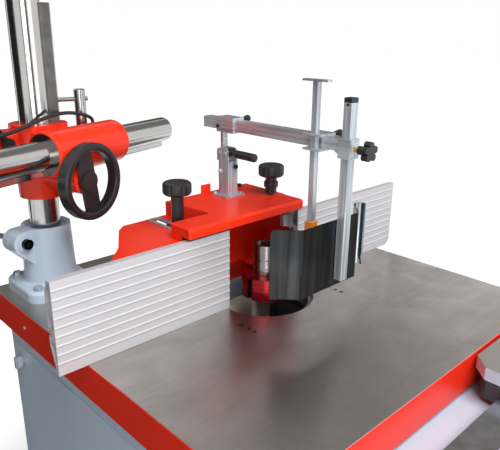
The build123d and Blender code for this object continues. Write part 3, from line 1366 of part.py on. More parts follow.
LIFT_R = LIFT_TEETH * RACK_MODULE / 2
LIFT_X = RACK_PITCH_R + LIFT_R
PINION_R = PINION_TEETH * RACK_MODULE / 2
ARM_RACK_TIP = FEEDER_ARM_R + ARM_RACK_DEPTH
ARM_RACK_ROOT = ARM_RACK_TIP - RACK_TIP + RACK_ROOT
ARM_RACK_PITCH = ARM_RACK_TIP - RACK_TIP + RACK_PITCH_R
WHEEL_Z = -ARM_RACK_PITCH - PINION_R


def pinion(teeth, length, turn):
    """Pinion along Z about the origin, with one tooth at the given turn from +X."""
    radius = teeth * RACK_MODULE / 2
    root = radius - 1.3 * RACK_MODULE
    tip = radius + 0.7 * RACK_MODULE
    wide = 0.3 * RACK_PITCH
    narrow = 0.09 * RACK_PITCH
    points = []
    for tooth in range(teeth):
        angle = radians(turn + tooth * 360 / teeth)
        for reach, side in ((root, -wide), (tip, -narrow), (tip, narrow), (root, wide)):
            points.append((reach * cos(angle) - side * sin(angle), reach * sin(angle) + side * cos(angle)))
    return extrude(make_face(Polyline(*points, close=True)), length / 2, both=True)


def lift_pinion():
    """Pinion of the column rack, its shaft ending in a hexagon for a crank."""
    back = LIFT_CASE_BACK + SLIDING
    gear = Rot(90, 0, 0) * pinion(LIFT_TEETH, COLUMN_RACK_WIDTH, 180)
    gear += rod((0, 0, 0), (0, back, 0), PINION_SHAFT_R)
    hexagon = Pos(0, back, 0) * Rot(-90, 0, 0) * extrude(RegularPolygon(LIFT_HEX, 6), LIFT_HEX_LENGTH)
    return rack_frame * Pos(LIFT_X, 0, LIFT_Z) * (gear + hexagon)


# The arm runs along the local X axis of this frame, in front of the column.
arm_frame = column_axis * Rot(0, 0, ARM_TURN) * Pos(0, -FEEDER_ARM_OFFSET, FEEDER_ARM_Z)


def feeder_wheel():
    """Handwheel with its shaft and the pinion under the arm."""
    rim = Cylinder(WHEEL_R, WHEEL_DEPTH) - Cylinder(WHEEL_R - WHEEL_RIM, WHEEL_DEPTH)
    rim = fillet(rim.edges().filter_by(GeomType.CIRCLE), WHEEL_RIM / 3)
    hub = Pos(0, 0, -WHEEL_DEPTH / 4) * Cylinder(WHEEL_HUB_R, WHEEL_DEPTH / 2)
    reach = WHEEL_R - WHEEL_RIM / 2
    web = Box(2 * reach, WHEEL_WEB, WHEEL_WEB_THICK) & Cylinder(reach, WHEEL_DEPTH)
    web = Pos(0, 0, -WHEEL_DEPTH / 4) * web
    wheel = rim + hub + Rot(0, 0, WHEEL_WEB_TURN) * web
    wheel = Pos(0, WHEEL_DEPTH / 2 - WHEEL_FRONT, 0) * Rot(90, 0, 0) * wheel
    wheel += rod((0, WHEEL_DEPTH - WHEEL_FRONT, 0), (0, PINION_LENGTH, 0), PINION_SHAFT_R)
    wheel += Rot(90, 0, 0) * pinion(PINION_TEETH, PINION_LENGTH, 90)
    return arm_frame * Pos(WHEEL_S, 0, WHEEL_Z) * wheel


def feeder_arm():
    tube = rod((FEEDER_ARM_LEFT, 0, 0), (FEEDER_ARM_RIGHT, 0, 0), FEEDER_ARM_R)
    tube = chamfer(tube.edges().filter_by(GeomType.CIRCLE), FEEDER_ARM_WALL / 4)
    bore = FEEDER_ARM_R - FEEDER_ARM_WALL
    tube -= rod((FEEDER_ARM_LEFT, 0, 0), (FEEDER_ARM_RIGHT, 0, 0), bore)
    before = int((WHEEL_S - FEEDER_ARM_LEFT - ARM_RACK_END) / RACK_PITCH)
    first = WHEEL_S - (before - 0.5) * RACK_PITCH
    count = int((FEEDER_ARM_RIGHT - ARM_RACK_END - first) / RACK_PITCH)
    seat = FEEDER_ARM_R - FEEDER_ARM_WALL / 2
    outline = rack_outline(first, count, ARM_RACK_ROOT, ARM_RACK_TIP, seat)
    face = make_face(Polyline(*[(along, 0, -depth) for along, depth in outline], close=True))
    return arm_frame * (tube + extrude(face, ARM_RACK_WIDTH / 2, both=True))


def cross_clamp():
    height = SLEEVE_V_TOP - SLEEVE_V_LOW
    body = Pos(0, 0, SLEEVE_V_LOW) * Cone(SLEEVE_V_LOW_R, SLEEVE_V_TOP_R, height, align=ROUND_MIN)
    half_housing = RACK_HOUSING_WIDTH / 2
    housing = block((0, RACK_HOUSING), (-half_housing, half_housing), (SLEEVE_V_LOW, SLEEVE_V_TOP))
    outer = housing.edges().filter_by(Axis.Z).filter_by_position(Axis.X, GAP, 2 * RACK_HOUSING)
    rack_side = Rot(0, 0, RACK_TURN)
    body += rack_side * fillet(outer, half_housing / 2)
    lift_y = (-half_housing, LIFT_CASE_BACK)
    body += rack_side * rod((LIFT_X, lift_y[0], LIFT_Z), (LIFT_X, lift_y[1], LIFT_Z), LIFT_CASE_R)
    to_arm = Rot(0, 0, ARM_TURN) * Pos(0, -FEEDER_ARM_OFFSET, FEEDER_ARM_Z)
    cross = rod((SLEEVE_H_LEFT, 0, 0), (SLEEVE_H_RIGHT, 0, 0), SLEEVE_H_R)
    cross = fillet(cross.edges().filter_by(GeomType.CIRCLE), SLEEVE_H_R / 12)
    web_half = SLEEVE_V_LOW_R * 0.9
    web = block((-web_half, web_half), (0, FEEDER_ARM_OFFSET), (-SLEEVE_H_R * 0.95, SLEEVE_H_R * 0.8))
    boss_z = (-PINCH_BOSS_R, PINCH_BOSS_R)
    boss = upright(PINCH_BOSS_R, *boss_z, PINCH_S, PINCH_B)
    boss += block((PINCH_S - PINCH_BOSS_R, PINCH_S + PINCH_BOSS_R), (0, PINCH_B), boss_z)
    case_y = (-SLEEVE_H_R, FEEDER_ARM_OFFSET / 2)
    case = rod((WHEEL_S, case_y[0], WHEEL_Z), (WHEEL_S, case_y[1], WHEEL_Z), PINION_CASE_R)
    case_x = (WHEEL_S - PINION_CASE_R, WHEEL_S + PINION_CASE_R)
    case += block(case_x, (-PINION_CASE_R, case_y[1]), (WHEEL_Z, 0))
    body += to_arm * (cross + web + boss + case)
    ear_z = (SIDE_EAR_Z - SIDE_EAR_HEIGHT / 2, SIDE_EAR_Z + SIDE_EAR_HEIGHT / 2)
    ear = block((-SIDE_EAR_REACH, 0), (-SIDE_EAR_WIDTH / 2, SIDE_EAR_WIDTH / 2), ear_z)
    body += fillet(ear.edges().filter_by(Axis.Y), SIDE_EAR_HEIGHT / 4)
    bolt_start = (SIDE_BOLT_X, -SIDE_EAR_WIDTH, SIDE_EAR_Z)
    bolt_end = (SIDE_BOLT_X, SIDE_EAR_WIDTH, SIDE_EAR_Z)
    body -= rod(bolt_start, bolt_end, SIDE_BOLT_R + RUNNING)
    body -= upright(COLUMN_R + RUNNING, SLEEVE_V_LOW, SLEEVE_V_TOP)
    rack_y = COLUMN_RACK_WIDTH / 2 + SLIDING
    body -= rack_side * block((0, RACK_TIP + SLIDING), (-rack_y, rack_y), (SLEEVE_V_LOW, SLEEVE_V_TOP))
    lift_cavity = LIFT_R + 1.2 * RACK_MODULE
    body -= rack_side * rod((LIFT_X, -rack_y, LIFT_Z), (LIFT_X, rack_y, LIFT_Z), lift_cavity)
    shaft_bore = PINION_SHAFT_R + RUNNING
    body -= rack_side * rod((LIFT_X, 0, LIFT_Z), (LIFT_X, lift_y[1], LIFT_Z), shaft_bore)
    slot = ARM_RACK_WIDTH / 2 + SLIDING
    bore = rod((SLEEVE_H_LEFT, 0, 0), (SLEEVE_H_RIGHT, 0, 0), FEEDER_ARM_R + RUNNING)
    bore += block((SLEEVE_H_LEFT, SLEEVE_H_RIGHT), (-slot, slot), (-ARM_RACK_TIP - SLIDING, 0))
    bore += upright(LOCK_STEM_R + RUNNING, *boss_z, PINCH_S, PINCH_B)
    shaft_end = (WHEEL_S, PINION_LENGTH + GAP, WHEEL_Z)
    bore += rod((WHEEL_S, case_y[0], WHEEL_Z), shaft_end, PINION_SHAFT_R + RUNNING)
    half = PINION_LENGTH / 2 + GAP
    cavity = PINION_R + 1.2 * RACK_MODULE
    bore += rod((WHEEL_S, -half, WHEEL_Z), (WHEEL_S, half, WHEEL_Z), cavity)
    return column_axis * (body - to_arm * bore)


def column_lever():
    """Pinch bolt of the vertical sleeve with its lever, on the left ear."""
    half = SIDE_EAR_WIDTH / 2 + SLIDING
    bolt = rod((SIDE_BOLT_X, -half, SIDE_EAR_Z), (SIDE_BOLT_X, half + SIDE_HUB, SIDE_EAR_Z), SIDE_BOLT_R)
    hub = rod((SIDE_BOLT_X, -half, SIDE_EAR_Z), (SIDE_BOLT_X, -half - SIDE_HUB, SIDE_EAR_Z), SIDE_HUB_R)
    nut = rod((SIDE_BOLT_X, half, SIDE_EAR_Z), (SIDE_BOLT_X, half + SIDE_HUB / 2, SIDE_EAR_Z), SIDE_HUB_R)
    tip = (SIDE_BOLT_X - SIDE_LEVER[0], -half - SIDE_HUB, SIDE_EAR_Z + SIDE_LEVER[1])
    arm = rod((SIDE_BOLT_X, -half - SIDE_HUB / 2, SIDE_EAR_Z), tip, SIDE_BOLT_R, SIDE_LEVER_R)
    return column_axis * (bolt + hub + nut + arm + Pos(*tip) * Sphere(SIDE_LEVER_R))


def clamp_screw():
    """Pinch screw of the arm: pillar with a tommy bar through it."""
    seat = PINCH_BOSS_R + SLIDING
    top = LOCK_SCREW_TOP - FEEDER_ARM_Z
    stem = upright(LOCK_STEM_R, -PINCH_BOSS_R, seat, PINCH_S, PINCH_B)
    pillar = upright(LOCK_SCREW_R, seat, top, PINCH_S, PINCH_B)
    pillar = chamfer(pillar.edges().filter_by(GeomType.CIRCLE), LOCK_SCREW_R / 8)
    bar_z = TOMMY_Z - FEEDER_ARM_Z
    tommy = rod((-TOMMY_REACH, 0, 0), (1.4 * LOCK_SCREW_R, 0, 0), TOMMY_R)
    tommy = Pos(PINCH_S, PINCH_B, bar_z) * Rot(0, 0, TOMMY_TURN) * tommy
    return arm_frame * (stem + pillar + tommy)


def lead_radii(points):
    """Bend radii: 0.45 of the shorter run over the tangent of half the turn."""
    radii = []
    for before, corner, after in zip(points, points[1:], points[2:]):
        run_in = Vector(*corner) - Vector(*before)
        run_out = Vector(*after) - Vector(*corner)
        half_turn = radians(run_in.get_angle(run_out)) / 2
        radii.append(0.45 * min(run_in.length, run_out.length) / tan(half_turn))
    return radii


def feeder_lead():
    radii = lead_radii(LEAD_ROUTE)
    print("lead bend radii", [round(r, 1) for r in radii])
    path = FilletPolyline(*LEAD_ROUTE, radius=radii)
    profile = Plane(origin=path @ 0, z_dir=path % 0) * Circle(LEAD_CABLE_R)
    tube = sweep(profile, path=path)
    ratio = tube.volume / (pi * LEAD_CABLE_R**2 * path.length)
    print("lead length", round(path.length, 1), "volume ratio", round(ratio, 4))
    return tube


def connector(exit_point, inner_point):
    """A round in-line connector at one end of the lead."""
    start = Vector(*exit_point)
    along = (start - Vector(*inner_point)).normalized()
    end = start + along * CONNECTOR_LENGTH
    body = rod(tuple(start), tuple(end), CONNECTOR_R)
    return chamfer(body.edges().filter_by(GeomType.CIRCLE), CONNECTOR_R / 5)


def lead_clip():
    """Clip on the back of the arm sleeve that the lead passes through."""
    before = Vector(*LEAD_ROUTE[CLIP_RUN])
    run = Vector(*LEAD_ROUTE[CLIP_RUN + 1]) - before
    middle = before + run * CLIP_SHARE
    half = run.normalized() * (CLIP_WIDTH / 2)
    foot = (arm_frame * Pos(*CLIP_FOOT)).position
    clip = rod(tuple(middle - half), tuple(middle + half), CLIP_R)
    clip += rod(tuple(middle), tuple(foot), CLIP_R / 2)
    clip -= arm_frame * rod((SLEEVE_H_LEFT, 0, 0), (SLEEVE_H_RIGHT, 0, 0), SLEEVE_H_R)
    return clip - rod(tuple(before), tuple(before + run), LEAD_CABLE_R + RUNNING)


save("base_frame", base_frame())
save("cabinet", cabinet())
save("door", door())
save("door_hinges", *door_hinges())
save("door_latch", door_latch())
save("table", table())
save("spindle_guide", spindle_guide())
save("quill", quill())
save("spindle_shaft", spindle_shaft())
save("spacer_rings", *spacer_rings())
save("cutter_head", cutter_head())
save("cutter_knives", *cutter_knives())
save("spindle_screw", spindle_screw())
save("spindle_pulley", pulley(SPINDLE_PULLEY_R))
save("motor_pulley", motor_pulley())
save("drive_belt", drive_belt())
save("motor_bracket", motor_bracket())
save("motor", motor())
save("height_screw", height_screw())
save("height_handwheel", height_handwheel())
save("switch_box", switch_box())
save("start_button", button(START_Z, BUTTON_R, START_PROUD))
save("stop_button", button(STOP_Z, STOP_HEAD_R, STOP_PROUD))
save("sliding_table", sliding_table())
save("slide_rail", slide_rail())
save("slide_support", slide_support())
save("board_left", board(-1))
save("board_right", board(1))
save("carrier_left", carrier(-1))
save("carrier_right", carrier(1))
save("hood", hood())
save("slot_plate", slot_plate())
save("extraction_spout", extraction_spout())
save("knob_left", knob(LEFT_KNOB, WING_TOP + SLOT_PLATE + SLIDING, WING_LOW - 2 * KNOB_STUD_R, False))
save("knob_right", knob(RIGHT_KNOB, HOOD_TOP + 2 * SHEET, HOOD_TOP - 3 * SHEET, True))
save("toggle_upright", toggle_upright())
save("toggle_handle", toggle_handle())
save("arm_carrier", arm_carrier())
save("guard_arm", guard_arm())
save("arm_lever", lever(ARM_LEVER_Y, ARM_LEVER_X))
save("bar_bracket", bar_bracket())
save("bar_lever", lever(BAR_LEVER_Y, BAR_LEVER_X))
save("hold_down_bar", hold_down_bar())
save("hold_down_pad", hold_down_pad())
save("guard_post", square_tube((UP_X, POST_Y), POST_SIDE, POST_WALL, POST_LOW, POST_TOP))
save("post_cap", post_cap())
save("guard_plate", guard_plate())
save("star_knob", star_knob())
save("feeder_base", feeder_base())
save("base_lever", base_lever())
save("feeder_column", feeder_column())
save("column_rack", column_rack())
save("cross_clamp", cross_clamp())
save("column_lever", column_lever())
save("lift_pinion", lift_pinion())
save("feeder_wheel", feeder_wheel())
save("clamp_screw", clamp_screw())
save("feeder_arm", feeder_arm())
save("feeder_lead", feeder_lead())
left_end = connector(LEAD_ROUTE[0], LEAD_ROUTE[1])
right_end = connector(LEAD_ROUTE[-1], LEAD_ROUTE[-2])
save("lead_ends", left_end, right_end, lead_clip())
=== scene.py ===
import math

import bpy
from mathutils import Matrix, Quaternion, Vector


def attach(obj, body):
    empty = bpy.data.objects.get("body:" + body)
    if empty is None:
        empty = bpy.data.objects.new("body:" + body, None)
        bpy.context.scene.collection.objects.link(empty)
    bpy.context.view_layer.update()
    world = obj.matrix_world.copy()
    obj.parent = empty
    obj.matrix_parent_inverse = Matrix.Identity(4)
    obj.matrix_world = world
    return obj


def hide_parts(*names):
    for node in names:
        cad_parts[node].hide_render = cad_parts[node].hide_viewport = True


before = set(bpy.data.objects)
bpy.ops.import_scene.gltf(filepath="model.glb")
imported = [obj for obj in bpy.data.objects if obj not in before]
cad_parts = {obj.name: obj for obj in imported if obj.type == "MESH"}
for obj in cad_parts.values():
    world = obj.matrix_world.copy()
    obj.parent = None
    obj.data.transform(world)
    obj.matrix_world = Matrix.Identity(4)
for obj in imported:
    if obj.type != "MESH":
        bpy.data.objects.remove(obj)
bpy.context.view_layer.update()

# View. The machine is seen from the front left, a little above the table, through a normal lens,
# so that table, fence and feeder stand fill the frame and the cabinet's foot lies below it.
CAMERA_PLACE = (-0.870, -0.857, 1.446)
CAMERA_AZIMUTH = math.radians(-43.746)
CAMERA_ELEVATION = math.radians(18.473)
CAMERA_ROLL = math.radians(0.639)
CAMERA_LENS = 41.54
CAMERA_NEAR = 0.02

camera = bpy.data.objects.new("camera", bpy.data.cameras.new("camera"))
camera.data.lens = CAMERA_LENS
camera.data.clip_start = CAMERA_NEAR
camera.location = CAMERA_PLACE
looking = Vector((
    -math.sin(CAMERA_AZIMUTH) * math.cos(CAMERA_ELEVATION),
    math.cos(CAMERA_AZIMUTH) * math.cos(CAMERA_ELEVATION),
    -math.sin(CAMERA_ELEVATION),
))
camera.rotation_mode = "QUATERNION"
camera.rotation_quaternion = looking.to_track_quat("-Z", "Y") @ Quaternion((0, 0, 1), CAMERA_ROLL)
bpy.context.scene.collection.objects.link(camera)
bpy.context.scene.camera = camera
bpy.context.scene.view_settings.view_transform = "Standard"


# Studio. A white floor runs out to a white surround. Soft lamps stand in front and hang overhead,
# so the left sides stay in shade; dark screens give polished metal and gloss paint their depth.
# The floor shines less round the machine's foot, so that its shadow shows there.
FLOOR_SIDE = 60.0
FLOOR_COLOUR = "#c8c8c8"
FLOOR_GLOW = {"near": 0.45, "far": 0.91}
FLOOR_FADE = {"near": 0.75, "far": 1.20}
WORLD_LIGHT = 0.16
LAMPS = {
    "lamp_front": {"place": (0.7, -2.9, 1.25), "side": 1.6, "power": 15.0, "mirrored": True},
    "lamp_fill": {"place": (-1.25, -1.75, 1.35), "side": 0.8, "power": 13.0, "mirrored": True},
    "lamp_high": {"place": (-0.4, -1.5, 3.1), "side": 1.6, "power": 84.0, "mirrored": False},
}
LAMP_AIM = (0.0, 0.0, 0.9)
SCREENS = {
    "screen_left": {"place": (-1.25, 0.80, 1.35), "turn": 50, "size": (1.3, 1.0), "tone": "#2c2a28"},
    "screen_low": {"place": (-0.93, 1.18, 0.55), "turn": 50, "size": (0.4, 0.6), "tone": "#2c2a28"},
    "screen_back": {"place": (1.45, 3.2, 1.70), "turn": -24, "size": (5.4, 3.4), "tone": "#5a5754"},
    "screen_front": {"place": (-1.6, -3.6, 1.50), "size": (5.0, 3.0), "tone": "#4a4744"},
    "screen_floor": {"place": (-1.35, 1.0, 0.02), "tilt": -90, "size": (1.7, 3.2), "tone": "#2c2a28"},
    "screen_right": {"place": (2.10, -1.3, 0.02), "tilt": -90, "size": (2.6, 1.4), "tone": "#2c2a28"},
    "screen_above": {"place": (2.25, 0.85, 3.2), "tilt": -90, "size": (3.9, 2.3), "tone": "#8b8784"},
}


def linear(code):
    """Linear colour of an sRGB hex code."""
    parts = [int(code[i:i + 2], 16) / 255 for i in (1, 3, 5)]
    return [p / 12.92 if p <= 0.04045 else ((p + 0.055) / 1.055) ** 2.4 for p in parts] + [1.0]


def add(tree, kind, inputs=None, **settings):
    """Adds a node: settings are its properties, inputs are values or the sockets that feed it. Sockets
    that share a name go by number: a colour Mix has its colours in 6 and 7 and its result in 2."""
    made = tree.nodes.new(kind)
    for key, value in settings.items():
        setattr(made, key, value)
    for key, value in (inputs or {}).items():
        if isinstance(value, bpy.types.NodeSocket):
            tree.links.new(value, made.inputs[key])
        else:
            made.inputs[key].default_value = value
    return made


def surface(name):
    """A new material, its tree, its shader and the piece's own coordinates."""
    material = bpy.data.materials.new(name)
    material.use_nodes = True
    tree = material.node_tree
    place = add(tree, "ShaderNodeTexCoord").outputs["Object"]
    return material, tree, tree.nodes["Principled BSDF"], place


def seen_directly(tree):
    """1 for what the eye meets straight on, in a mirror or through glass, 0 for light."""
    rays = add(tree, "ShaderNodeLightPath").outputs
    first = {0: rays["Is Camera Ray"], 1: rays["Is Glossy Ray"]}
    first = add(tree, "ShaderNodeMath", first, operation="MAXIMUM")
    both = {0: first.outputs[0], 1: rays["Is Transmission Ray"]}
    return add(tree, "ShaderNodeMath", both, operation="MAXIMUM").outputs[0]


def screen_plane(name, size, place, turn=0, tilt=0):
    """A rectangle in the studio, tilted back from upright and turned about the vertical."""
    half_x, half_z = size[0] / 2, size[1] / 2
    mesh = bpy.data.meshes.new(name)
    corners = [(-half_x, 0, -half_z), (half_x, 0, -half_z), (half_x, 0, half_z), (-half_x, 0, half_z)]
    mesh.from_pydata(corners, [], [(0, 1, 2, 3)])
    made = bpy.data.objects.new(name, mesh)
    made.location = place
    made.rotation_euler = (math.radians(tilt), 0, math.radians(turn))
    bpy.context.scene.collection.objects.link(made)
    return made


floor = screen_plane("floor", (FLOOR_SIDE, FLOOR_SIDE), (0, 0, 0), tilt=-90)
floor_paper, tree, shader, place = surface("floor_paper")
shader.inputs["Base Color"].default_value = linear(FLOOR_COLOUR)
shader.inputs["Roughness"].default_value = 0.9
shader.inputs["Emission Color"].default_value = (1, 1, 1, 1)
reach = add(tree, "ShaderNodeVectorMath", {0: place}, operation="LENGTH")
glow = {
    "Value": reach.outputs["Value"],
    "From Min": FLOOR_FADE["near"], "From Max": FLOOR_FADE["far"],
    "To Min": FLOOR_GLOW["near"], "To Max": FLOOR_GLOW["far"],
}
glow = add(tree, "ShaderNodeMapRange", glow)
glow = {0: seen_directly(tree), 1: glow.outputs["Result"]}
glow = add(tree, "ShaderNodeMath", glow, operation="MULTIPLY")
tree.links.new(glow.outputs[0], shader.inputs["Emission Strength"])
floor.data.materials.append(floor_paper)

world = bpy.data.worlds.new("studio")
bpy.context.scene.world = world
world.use_nodes = True
tree = world.node_tree
level = {"Value": seen_directly(tree), "To Min": WORLD_LIGHT, "To Max": 1.0}
level = add(tree, "ShaderNodeMapRange", level)
tree.nodes["Background"].inputs["Color"].default_value = (1, 1, 1, 1)
tree.links.new(level.outputs["Result"], tree.nodes["Background"].inputs["Strength"])

for name, lamp in LAMPS.items():
    light = bpy.data.lights.new(name, "AREA")
    light.size = lamp["side"]
    light.energy = lamp["power"]
    made = bpy.data.objects.new(name, light)
    made.location = lamp["place"]
    made.rotation_euler = (Vector(LAMP_AIM) - made.location).to_track_quat("-Z", "Y").to_euler()
    made.visible_glossy = lamp["mirrored"]
    bpy.context.scene.collection.objects.link(made)

for name, screen in SCREENS.items():
    stood = {key: screen[key] for key in ("turn", "tilt") if key in screen}
    made = screen_plane(name, screen["size"], screen["place"], **stood)
    cloth, tree, shader, place = surface(name + "_cloth")
    shader.inputs["Base Color"].default_value = (0, 0, 0, 1)
    shader.inputs["Specular IOR Level"].default_value = 0.0
    shader.inputs["Emission Color"].default_value = linear(screen["tone"])
    shader.inputs["Emission Strength"].default_value = 1.0
    made.data.materials.append(cloth)
    made.visible_camera = False
    made.visible_diffuse = False
    made.visible_shadow = False


# Stand. A welded floor frame under a folded sheet-steel cabinet with a hinged door on the left,
# all stove-enamelled light blue-grey; hinges and latch are zinc-plated.
ENAMEL_PALE = "#c9d8e8"
ENAMEL_DEEP = "#bccbdb"
ENAMEL_CLOUD = 160.0
ENAMEL_PEEL = 2.5
ZINC_COLD = "#ccd5de"
ZINC_WARM = "#d6d5cf"
ZINC_LINE = "#a2adb8"
ZINC_SHEEN = 0.55
ZINC_CLOUD = 38.0
ZINC_DRAW = (6.0, 6.0, 160.0)
ZINC_BANDS = (0.35, 0.65)
ZINC_GLOSS = (0.25, 0.35)


def per_mm(size):
    """Texture scale whose pattern repeats about every so many millimetres."""
    return 1000.0 / size


def dress(material, *names):
    """Gives CAD nodes their material."""
    for name in names:
        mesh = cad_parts[name].data
        mesh.materials.clear()
        mesh.materials.append(material)


# Stove enamel: half gloss, a slight orange peel and a faint clouding between panels.
enamel, tree, shader, place = surface("blue_grey_enamel")
cloud = {"Vector": place, "Scale": per_mm(ENAMEL_CLOUD), "Detail": 3.0}
cloud = add(tree, "ShaderNodeTexNoise", cloud)
shade = {0: cloud.outputs["Fac"], 6: linear(ENAMEL_DEEP), 7: linear(ENAMEL_PALE)}
shade = add(tree, "ShaderNodeMix", shade, data_type="RGBA")
tree.links.new(shade.outputs[2], shader.inputs["Base Color"])
shader.inputs["Roughness"].default_value = 0.32
peel = {"Vector": place, "Scale": per_mm(ENAMEL_PEEL), "Detail": 1.0}
peel = add(tree, "ShaderNodeTexNoise", peel)
bump = {"Height": peel.outputs["Fac"], "Strength": 0.12, "Distance": 0.0004}
bump = add(tree, "ShaderNodeBump", bump)
tree.links.new(bump.outputs[0], shader.inputs["Normal"])
dress(enamel, "base_frame", "cabinet", "door")


def drawn_zinc(name, draw):
    """Bright zinc, cold and a little warm by turns, over the draw marks of the steel under it, which
    are drawn broad enough to show."""
    made, tree, shader, place = surface(name)
    film = {"Vector": place, "Scale": per_mm(ZINC_CLOUD), "Detail": 1.5}
    film = add(tree, "ShaderNodeTexNoise", film)
    shade = {0: film.outputs["Fac"], 6: linear(ZINC_COLD), 7: linear(ZINC_WARM)}
    shade = add(tree, "ShaderNodeMix", shade, data_type="RGBA")
    lines = add(tree, "ShaderNodeMapping", {"Vector": place, "Scale": [per_mm(s) for s in draw]})
    lines = add(tree, "ShaderNodeTexNoise", {"Vector": lines.outputs[0], "Scale": 1.0, "Detail": 1.0})
    drawn = {"Value": lines.outputs["Fac"], "From Min": ZINC_BANDS[0], "From Max": ZINC_BANDS[1]}
    drawn = add(tree, "ShaderNodeMapRange", drawn)
    shade = {0: drawn.outputs["Result"], 6: linear(ZINC_LINE), 7: shade.outputs[2]}
    shade = add(tree, "ShaderNodeMix", shade, data_type="RGBA")
    tree.links.new(shade.outputs[2], shader.inputs["Base Color"])
    shader.inputs["Metallic"].default_value = ZINC_SHEEN
    gloss = {"Value": lines.outputs["Fac"], "To Min": ZINC_GLOSS[0], "To Max": ZINC_GLOSS[1]}
    gloss = add(tree, "ShaderNodeMapRange", gloss)
    tree.links.new(gloss.outputs["Result"], shader.inputs["Roughness"])
    return made


zinc = drawn_zinc("bright_zinc", ZINC_DRAW)
dress(zinc, "door_hinges", "door_latch")


# Table. A ribbed iron casting with a surface-ground top; its sides are painted red up to a bare
# chamfer, and the stepped spindle opening is left as cast. Two screws plug spare holes in its left side.
TABLE_TOP = 0.870
IRON_LIGHT = "#c4beb9"
IRON_DARK = "#afa8a3"
IRON_STREAK = (240.0, 7.0, 7.0)
IRON_BLOT = 95.0
IRON_STREAK_SHARE = 0.35
IRON_MOTTLE = (0.45, 0.90)
IRON_GLOSS = (0.38, 0.29)
PAINT_RED = "#f0331a"
PAINT_DEEP = "#e62b14"
PAINT_CLOUD = 120.0
PAINT_GLOSS = 0.3
OPENING_GREY = "#6c727b"
BARE_EDGE = 0.0006
PLATE_DEPTH = 0.0221
OPENING_RADIUS = 0.1115
OPENING_RIM = 0.0008
TAPPED_X = {"middle": 0.141, "reach": 0.009}
TAPPED_Y = {"middle": -0.093, "reach": 0.031}
SIDE_SCREWS = [((-0.450, y, TABLE_TOP - 0.0386), (-1, 0, 0)) for y in (-0.2865, 0.2865)]
SIDE_SCREW_HEAD = (0.0042, 0.0012, 0.0014)

# Ground cast iron: grey, with soft streaks from the wheel and duller blots of oil and handling. By
# place it is bare on top and in the tapped holes, as cast in the opening and painted elsewhere.
iron, tree, shader, place = surface("ground_cast_iron")
streak = {"Vector": place, "Scale": [per_mm(s) for s in IRON_STREAK]}
streak = add(tree, "ShaderNodeMapping", streak)
streak = {"Vector": streak.outputs[0], "Scale": 1.0, "Detail": 3.0, "Roughness": 0.55}
streak = add(tree, "ShaderNodeTexNoise", streak)
blot = {"Vector": place, "Scale": per_mm(IRON_BLOT), "Detail": 5.0, "Roughness": 0.6, "Distortion": 0.6}
blot = add(tree, "ShaderNodeTexNoise", blot)
mottle = {0: streak.outputs["Fac"], 1: IRON_STREAK_SHARE, 2: blot.outputs["Fac"]}
mottle = add(tree, "ShaderNodeMath", mottle, operation="MULTIPLY_ADD")
mottle = {"Value": mottle.outputs[0], "From Min": IRON_MOTTLE[0], "From Max": IRON_MOTTLE[1]}
mottle = add(tree, "ShaderNodeMapRange", mottle)
metal = {0: mottle.outputs["Result"], 6: linear(IRON_DARK), 7: linear(IRON_LIGHT)}
metal = add(tree, "ShaderNodeMix", metal, data_type="RGBA")
cloud = add(tree, "ShaderNodeTexNoise", {"Vector": place, "Scale": per_mm(PAINT_CLOUD)})
paint = {0: cloud.outputs["Fac"], 6: linear(PAINT_DEEP), 7: linear(PAINT_RED)}
paint = add(tree, "ShaderNodeMix", paint, data_type="RGBA")
at = add(tree, "ShaderNodeSeparateXYZ", {0: place}).outputs
top = add(tree, "ShaderNodeMath", {0: at["Z"], 1: TABLE_TOP - BARE_EDGE}, operation="GREATER_THAN")
side = add(tree, "ShaderNodeMath", {0: at["X"]}, operation="ABSOLUTE")
near_x = {0: side.outputs[0], 1: TAPPED_X["middle"], 2: TAPPED_X["reach"]}
near_x = add(tree, "ShaderNodeMath", near_x, operation="COMPARE")
near_y = {0: at["Y"], 1: TAPPED_Y["middle"], 2: TAPPED_Y["reach"]}
near_y = add(tree, "ShaderNodeMath", near_y, operation="COMPARE")
tapped = {0: near_x.outputs[0], 1: near_y.outputs[0]}
tapped = add(tree, "ShaderNodeMath", tapped, operation="MULTIPLY")
plate = add(tree, "ShaderNodeMath", {0: at["Z"], 1: TABLE_TOP - PLATE_DEPTH}, operation="GREATER_THAN")
tapped = add(tree, "ShaderNodeMath", {0: tapped.outputs[0], 1: plate.outputs[0]}, operation="MULTIPLY")
bare = add(tree, "ShaderNodeMath", {0: top.outputs[0], 1: tapped.outputs[0]}, operation="MAXIMUM")
flat = add(tree, "ShaderNodeCombineXYZ", {"X": at["X"], "Y": at["Y"]})
reach = add(tree, "ShaderNodeVectorMath", {0: flat.outputs[0]}, operation="LENGTH")
inside = {0: reach.outputs["Value"], 1: OPENING_RADIUS}
inside = add(tree, "ShaderNodeMath", inside, operation="LESS_THAN")
below = add(tree, "ShaderNodeMath", {0: at["Z"], 1: TABLE_TOP - OPENING_RIM}, operation="LESS_THAN")
cored = {0: inside.outputs[0], 1: below.outputs[0]}
cored = add(tree, "ShaderNodeMath", cored, operation="MULTIPLY")
shade = {0: bare.outputs[0], 6: paint.outputs[2], 7: metal.outputs[2]}
shade = add(tree, "ShaderNodeMix", shade, data_type="RGBA")
shade = {0: cored.outputs[0], 6: shade.outputs[2], 7: linear(OPENING_GREY)}
shade = add(tree, "ShaderNodeMix", shade, data_type="RGBA")
tree.links.new(shade.outputs[2], shader.inputs["Base Color"])
metallic = {0: bare.outputs[0], 1: cored.outputs[0]}
metallic = add(tree, "ShaderNodeMath", metallic, operation="SUBTRACT", use_clamp=True)
tree.links.new(metallic.outputs[0], shader.inputs["Metallic"])
gloss = {"Value": mottle.outputs["Result"], "To Min": IRON_GLOSS[0], "To Max": IRON_GLOSS[1]}
